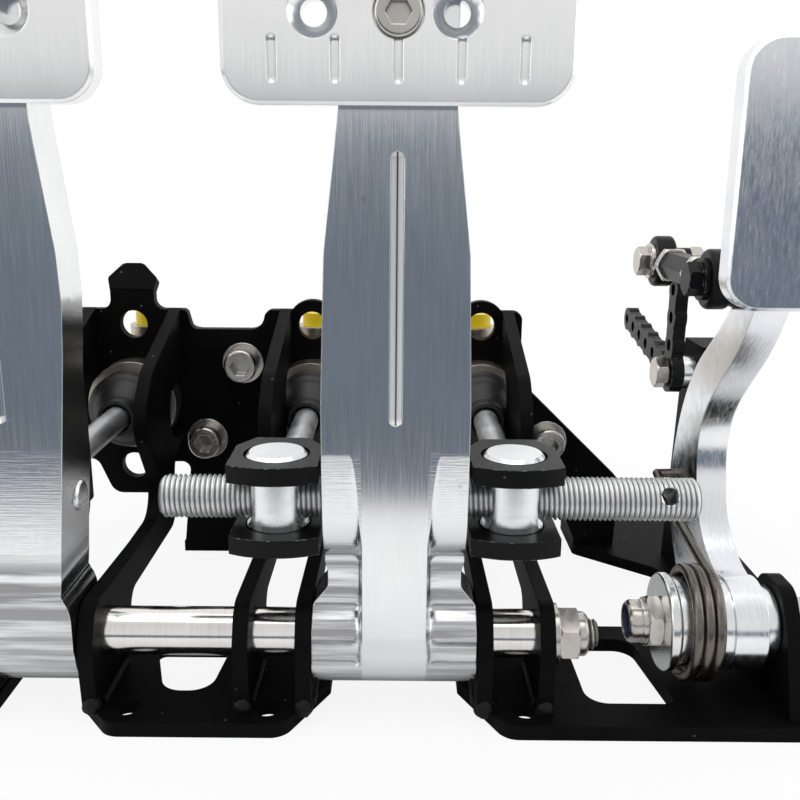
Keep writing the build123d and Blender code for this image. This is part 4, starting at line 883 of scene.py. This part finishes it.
def build_clutch_arm():
    """Clutch arm with the narrow waist of the photograph, a shorter pin and the fork behind it."""
    middle = cylinder_xs["clutch"]
    lowest = 30.0
    level_step = 2.0
    level_count = 62
    core = 7.0
    bm = copied_mesh("clutch_arm")
    levels = [lowest + level_step * i for i in range(level_count)]
    widths = []
    for z in levels:
        cut = bmesh.ops.bisect_plane(bm, geom=everything(bm), dist=in_plane, plane_co=mm(0, 0, z),
                                     plane_no=(0, 0, 1))
        rim = [v for v in cut["geom_cut"] if isinstance(v, bmesh.types.BMVert)]
        widths.append(max(abs(v.co.x * 1000 - middle) for v in rim))
    for v in bm.verts:
        z = v.co.z * 1000
        out = v.co.x * 1000 - middle
        if z < levels[0] or z > levels[-1] or abs(out) < core:
            continue
        index = min(int((z - levels[0]) / level_step), len(levels) - 2)
        share = (z - levels[index]) / level_step
        now = widths[index] + (widths[index + 1] - widths[index]) * share
        factor = min(1.0, (clutch_half_width(z) - core) / (now - core))
        v.co.x = (middle + math.copysign(core + (abs(out) - core) * factor, out)) / 1000
    arm = finish_mesh(bm, "waisted_clutch_arm", brushed_arm, "clutch_pedal", smooth=25)
    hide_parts("clutch_arm")
    outline = [(-13.7, 0), (-13.7, 3.4), (-13.1, 3.95), (13.1, 3.95), (13.7, 3.4), (13.7, 0)]
    centre = mm(middle, 0, bar_z)
    pin = turned_piece("short_clutch_pin", outline, "X", centre, bright_zinc, "clutch_pedal", 40)
    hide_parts("clutch_pin")
    fork_size = (0.021, 0.0062, 0.0146)
    fork_y = 14.4
    bm = bmesh.new()
    bmesh.ops.create_cube(bm, size=1.0)
    bmesh.ops.scale(bm, vec=fork_size, verts=bm.verts)
    bmesh.ops.bevel(bm, geom=list(bm.edges), offset=0.0008, segments=2, profile=0.5, affect="EDGES",
                    material=-1)
    bmesh.ops.translate(bm, vec=mm(middle, fork_y, bar_z), verts=bm.verts)
    finish_mesh(bm, "clutch_rod_fork", clevis_paint, "clutch_rod")


def build_nut_inserts():
    """Dark blue nylon rings in the collars of the shaft's locknuts."""
    outline = [(-0.6, 4.08), (0.12, 4.08), (0.2, 4.3), (0.12, 4.75), (-0.6, 4.75)]
    for side, end, way in (("left", shaft_left, -1), ("right", shaft_right, 1)):
        centre = mm(end + nut_reach * way, 0, pivot_z)
        profile = [(along * way, radius) for along, radius in outline]
        turned_piece(f"{side}_shaft_nut_insert", profile, "X", centre, navy_nylon, "chassis")


def build_throttle_nut_collar():
    """Deep collar of the throttle's locknut, with its bolt's end sunk in it."""
    centre = mm(throttle_nut_face, throttle_y, throttle_z)
    outside = [(0.5, 4.6), (0.5, 5.7), (-1.9, 5.7), (-2.6, 5.35), (-3.0, 4.9), (-3.0, 4.6)]
    turned_piece("throttle_nut_collar", outside, "X", centre, stainless, "chassis", 56)
    inside = [(0.4, 3.95), (0.4, 4.58), (-2.7, 4.58), (-2.7, 4.35), (-1.0, 3.95)]
    turned_piece("throttle_nut_insert", inside, "X", centre, navy_nylon, "chassis", 56)


def weld_lump(name, centre, size):
    """End of a weld run: a rounded lump with a rippled skin."""
    bm = bmesh.new()
    bmesh.ops.create_uvsphere(bm, u_segments=24, v_segments=16, radius=1.0)
    for v in bm.verts:
        v.co *= 1 + 0.05 * math.sin(7 * v.co.z + 3 * v.co.x) + 0.03 * math.sin(11 * v.co.x + 5 * v.co.y)
    bmesh.ops.scale(bm, vec=Vector(size) / 1000, verts=bm.verts)
    bmesh.ops.translate(bm, vec=centre, verts=bm.verts)
    finish_mesh(bm, name, weld_coat, "chassis", smooth=60)


def weld_run(name, start, end, radius):
    """Rippled bead between two points."""
    bead_step = 0.45
    ripple_steps = 3.5
    bm = bmesh.new()
    ring = bmesh.ops.create_circle(bm, cap_ends=True, segments=14, radius=radius / 1000)["verts"]
    way = end - start
    steps = max(6, int(way.length * 1000 / bead_step))
    turn = way.to_track_quat("Z", "Y").to_matrix().to_4x4()
    bmesh.ops.transform(bm, matrix=Matrix.Translation(start) @ turn, verts=ring)
    edges = list({e for v in ring for e in v.link_edges})
    for i in range(1, steps + 1):
        new = bmesh.ops.extrude_edge_only(bm, edges=edges)["geom"]
        verts = [g for g in new if isinstance(g, bmesh.types.BMVert)]
        edges = [g for g in new if isinstance(g, bmesh.types.BMEdge)]
        bmesh.ops.translate(bm, vec=way / steps, verts=verts)
        centre = start + way * i / steps
        swell = 1 + 0.07 * math.cos(i * math.tau / ripple_steps)
        for v in verts:
            offset = v.co - centre
            v.co = centre + offset.normalized() * radius / 1000 * swell
    bmesh.ops.holes_fill(bm, edges=edges, sides=0)
    finish_mesh(bm, name, weld_coat, "chassis", smooth=60)


def build_welds():
    """Weld runs at the feet of the side plates."""
    feet = {
        "clutch_left": -108.8, "clutch_right": -78.2, "brake_left": -39.2, "brake_left_inner": -23.3,
        "brake_right_inner": 23.3, "brake_right": 39.2,
    }
    plate_half = 2.0
    weld_z = 4.0
    lump_size = (2.5, 2.2, 2.7)
    for name, x in feet.items():
        weld_lump(f"{name}_front_weld", mm(x, -10.4, 5.0), lump_size)
        for side, edge in (("left", x - plate_half), ("right", x + plate_half)):
            weld_run(f"{name}_side_weld_{side}", mm(edge, -7.0, weld_z), mm(edge, 13.0, weld_z), 1.0)


place_camera()
build_surroundings()
dress_nodes()
build_threaded_bar()
build_pivot_shaft()
build_boots()
build_springs()
build_clutch_arm()
build_nut_inserts()
build_throttle_nut_collar()
build_welds()
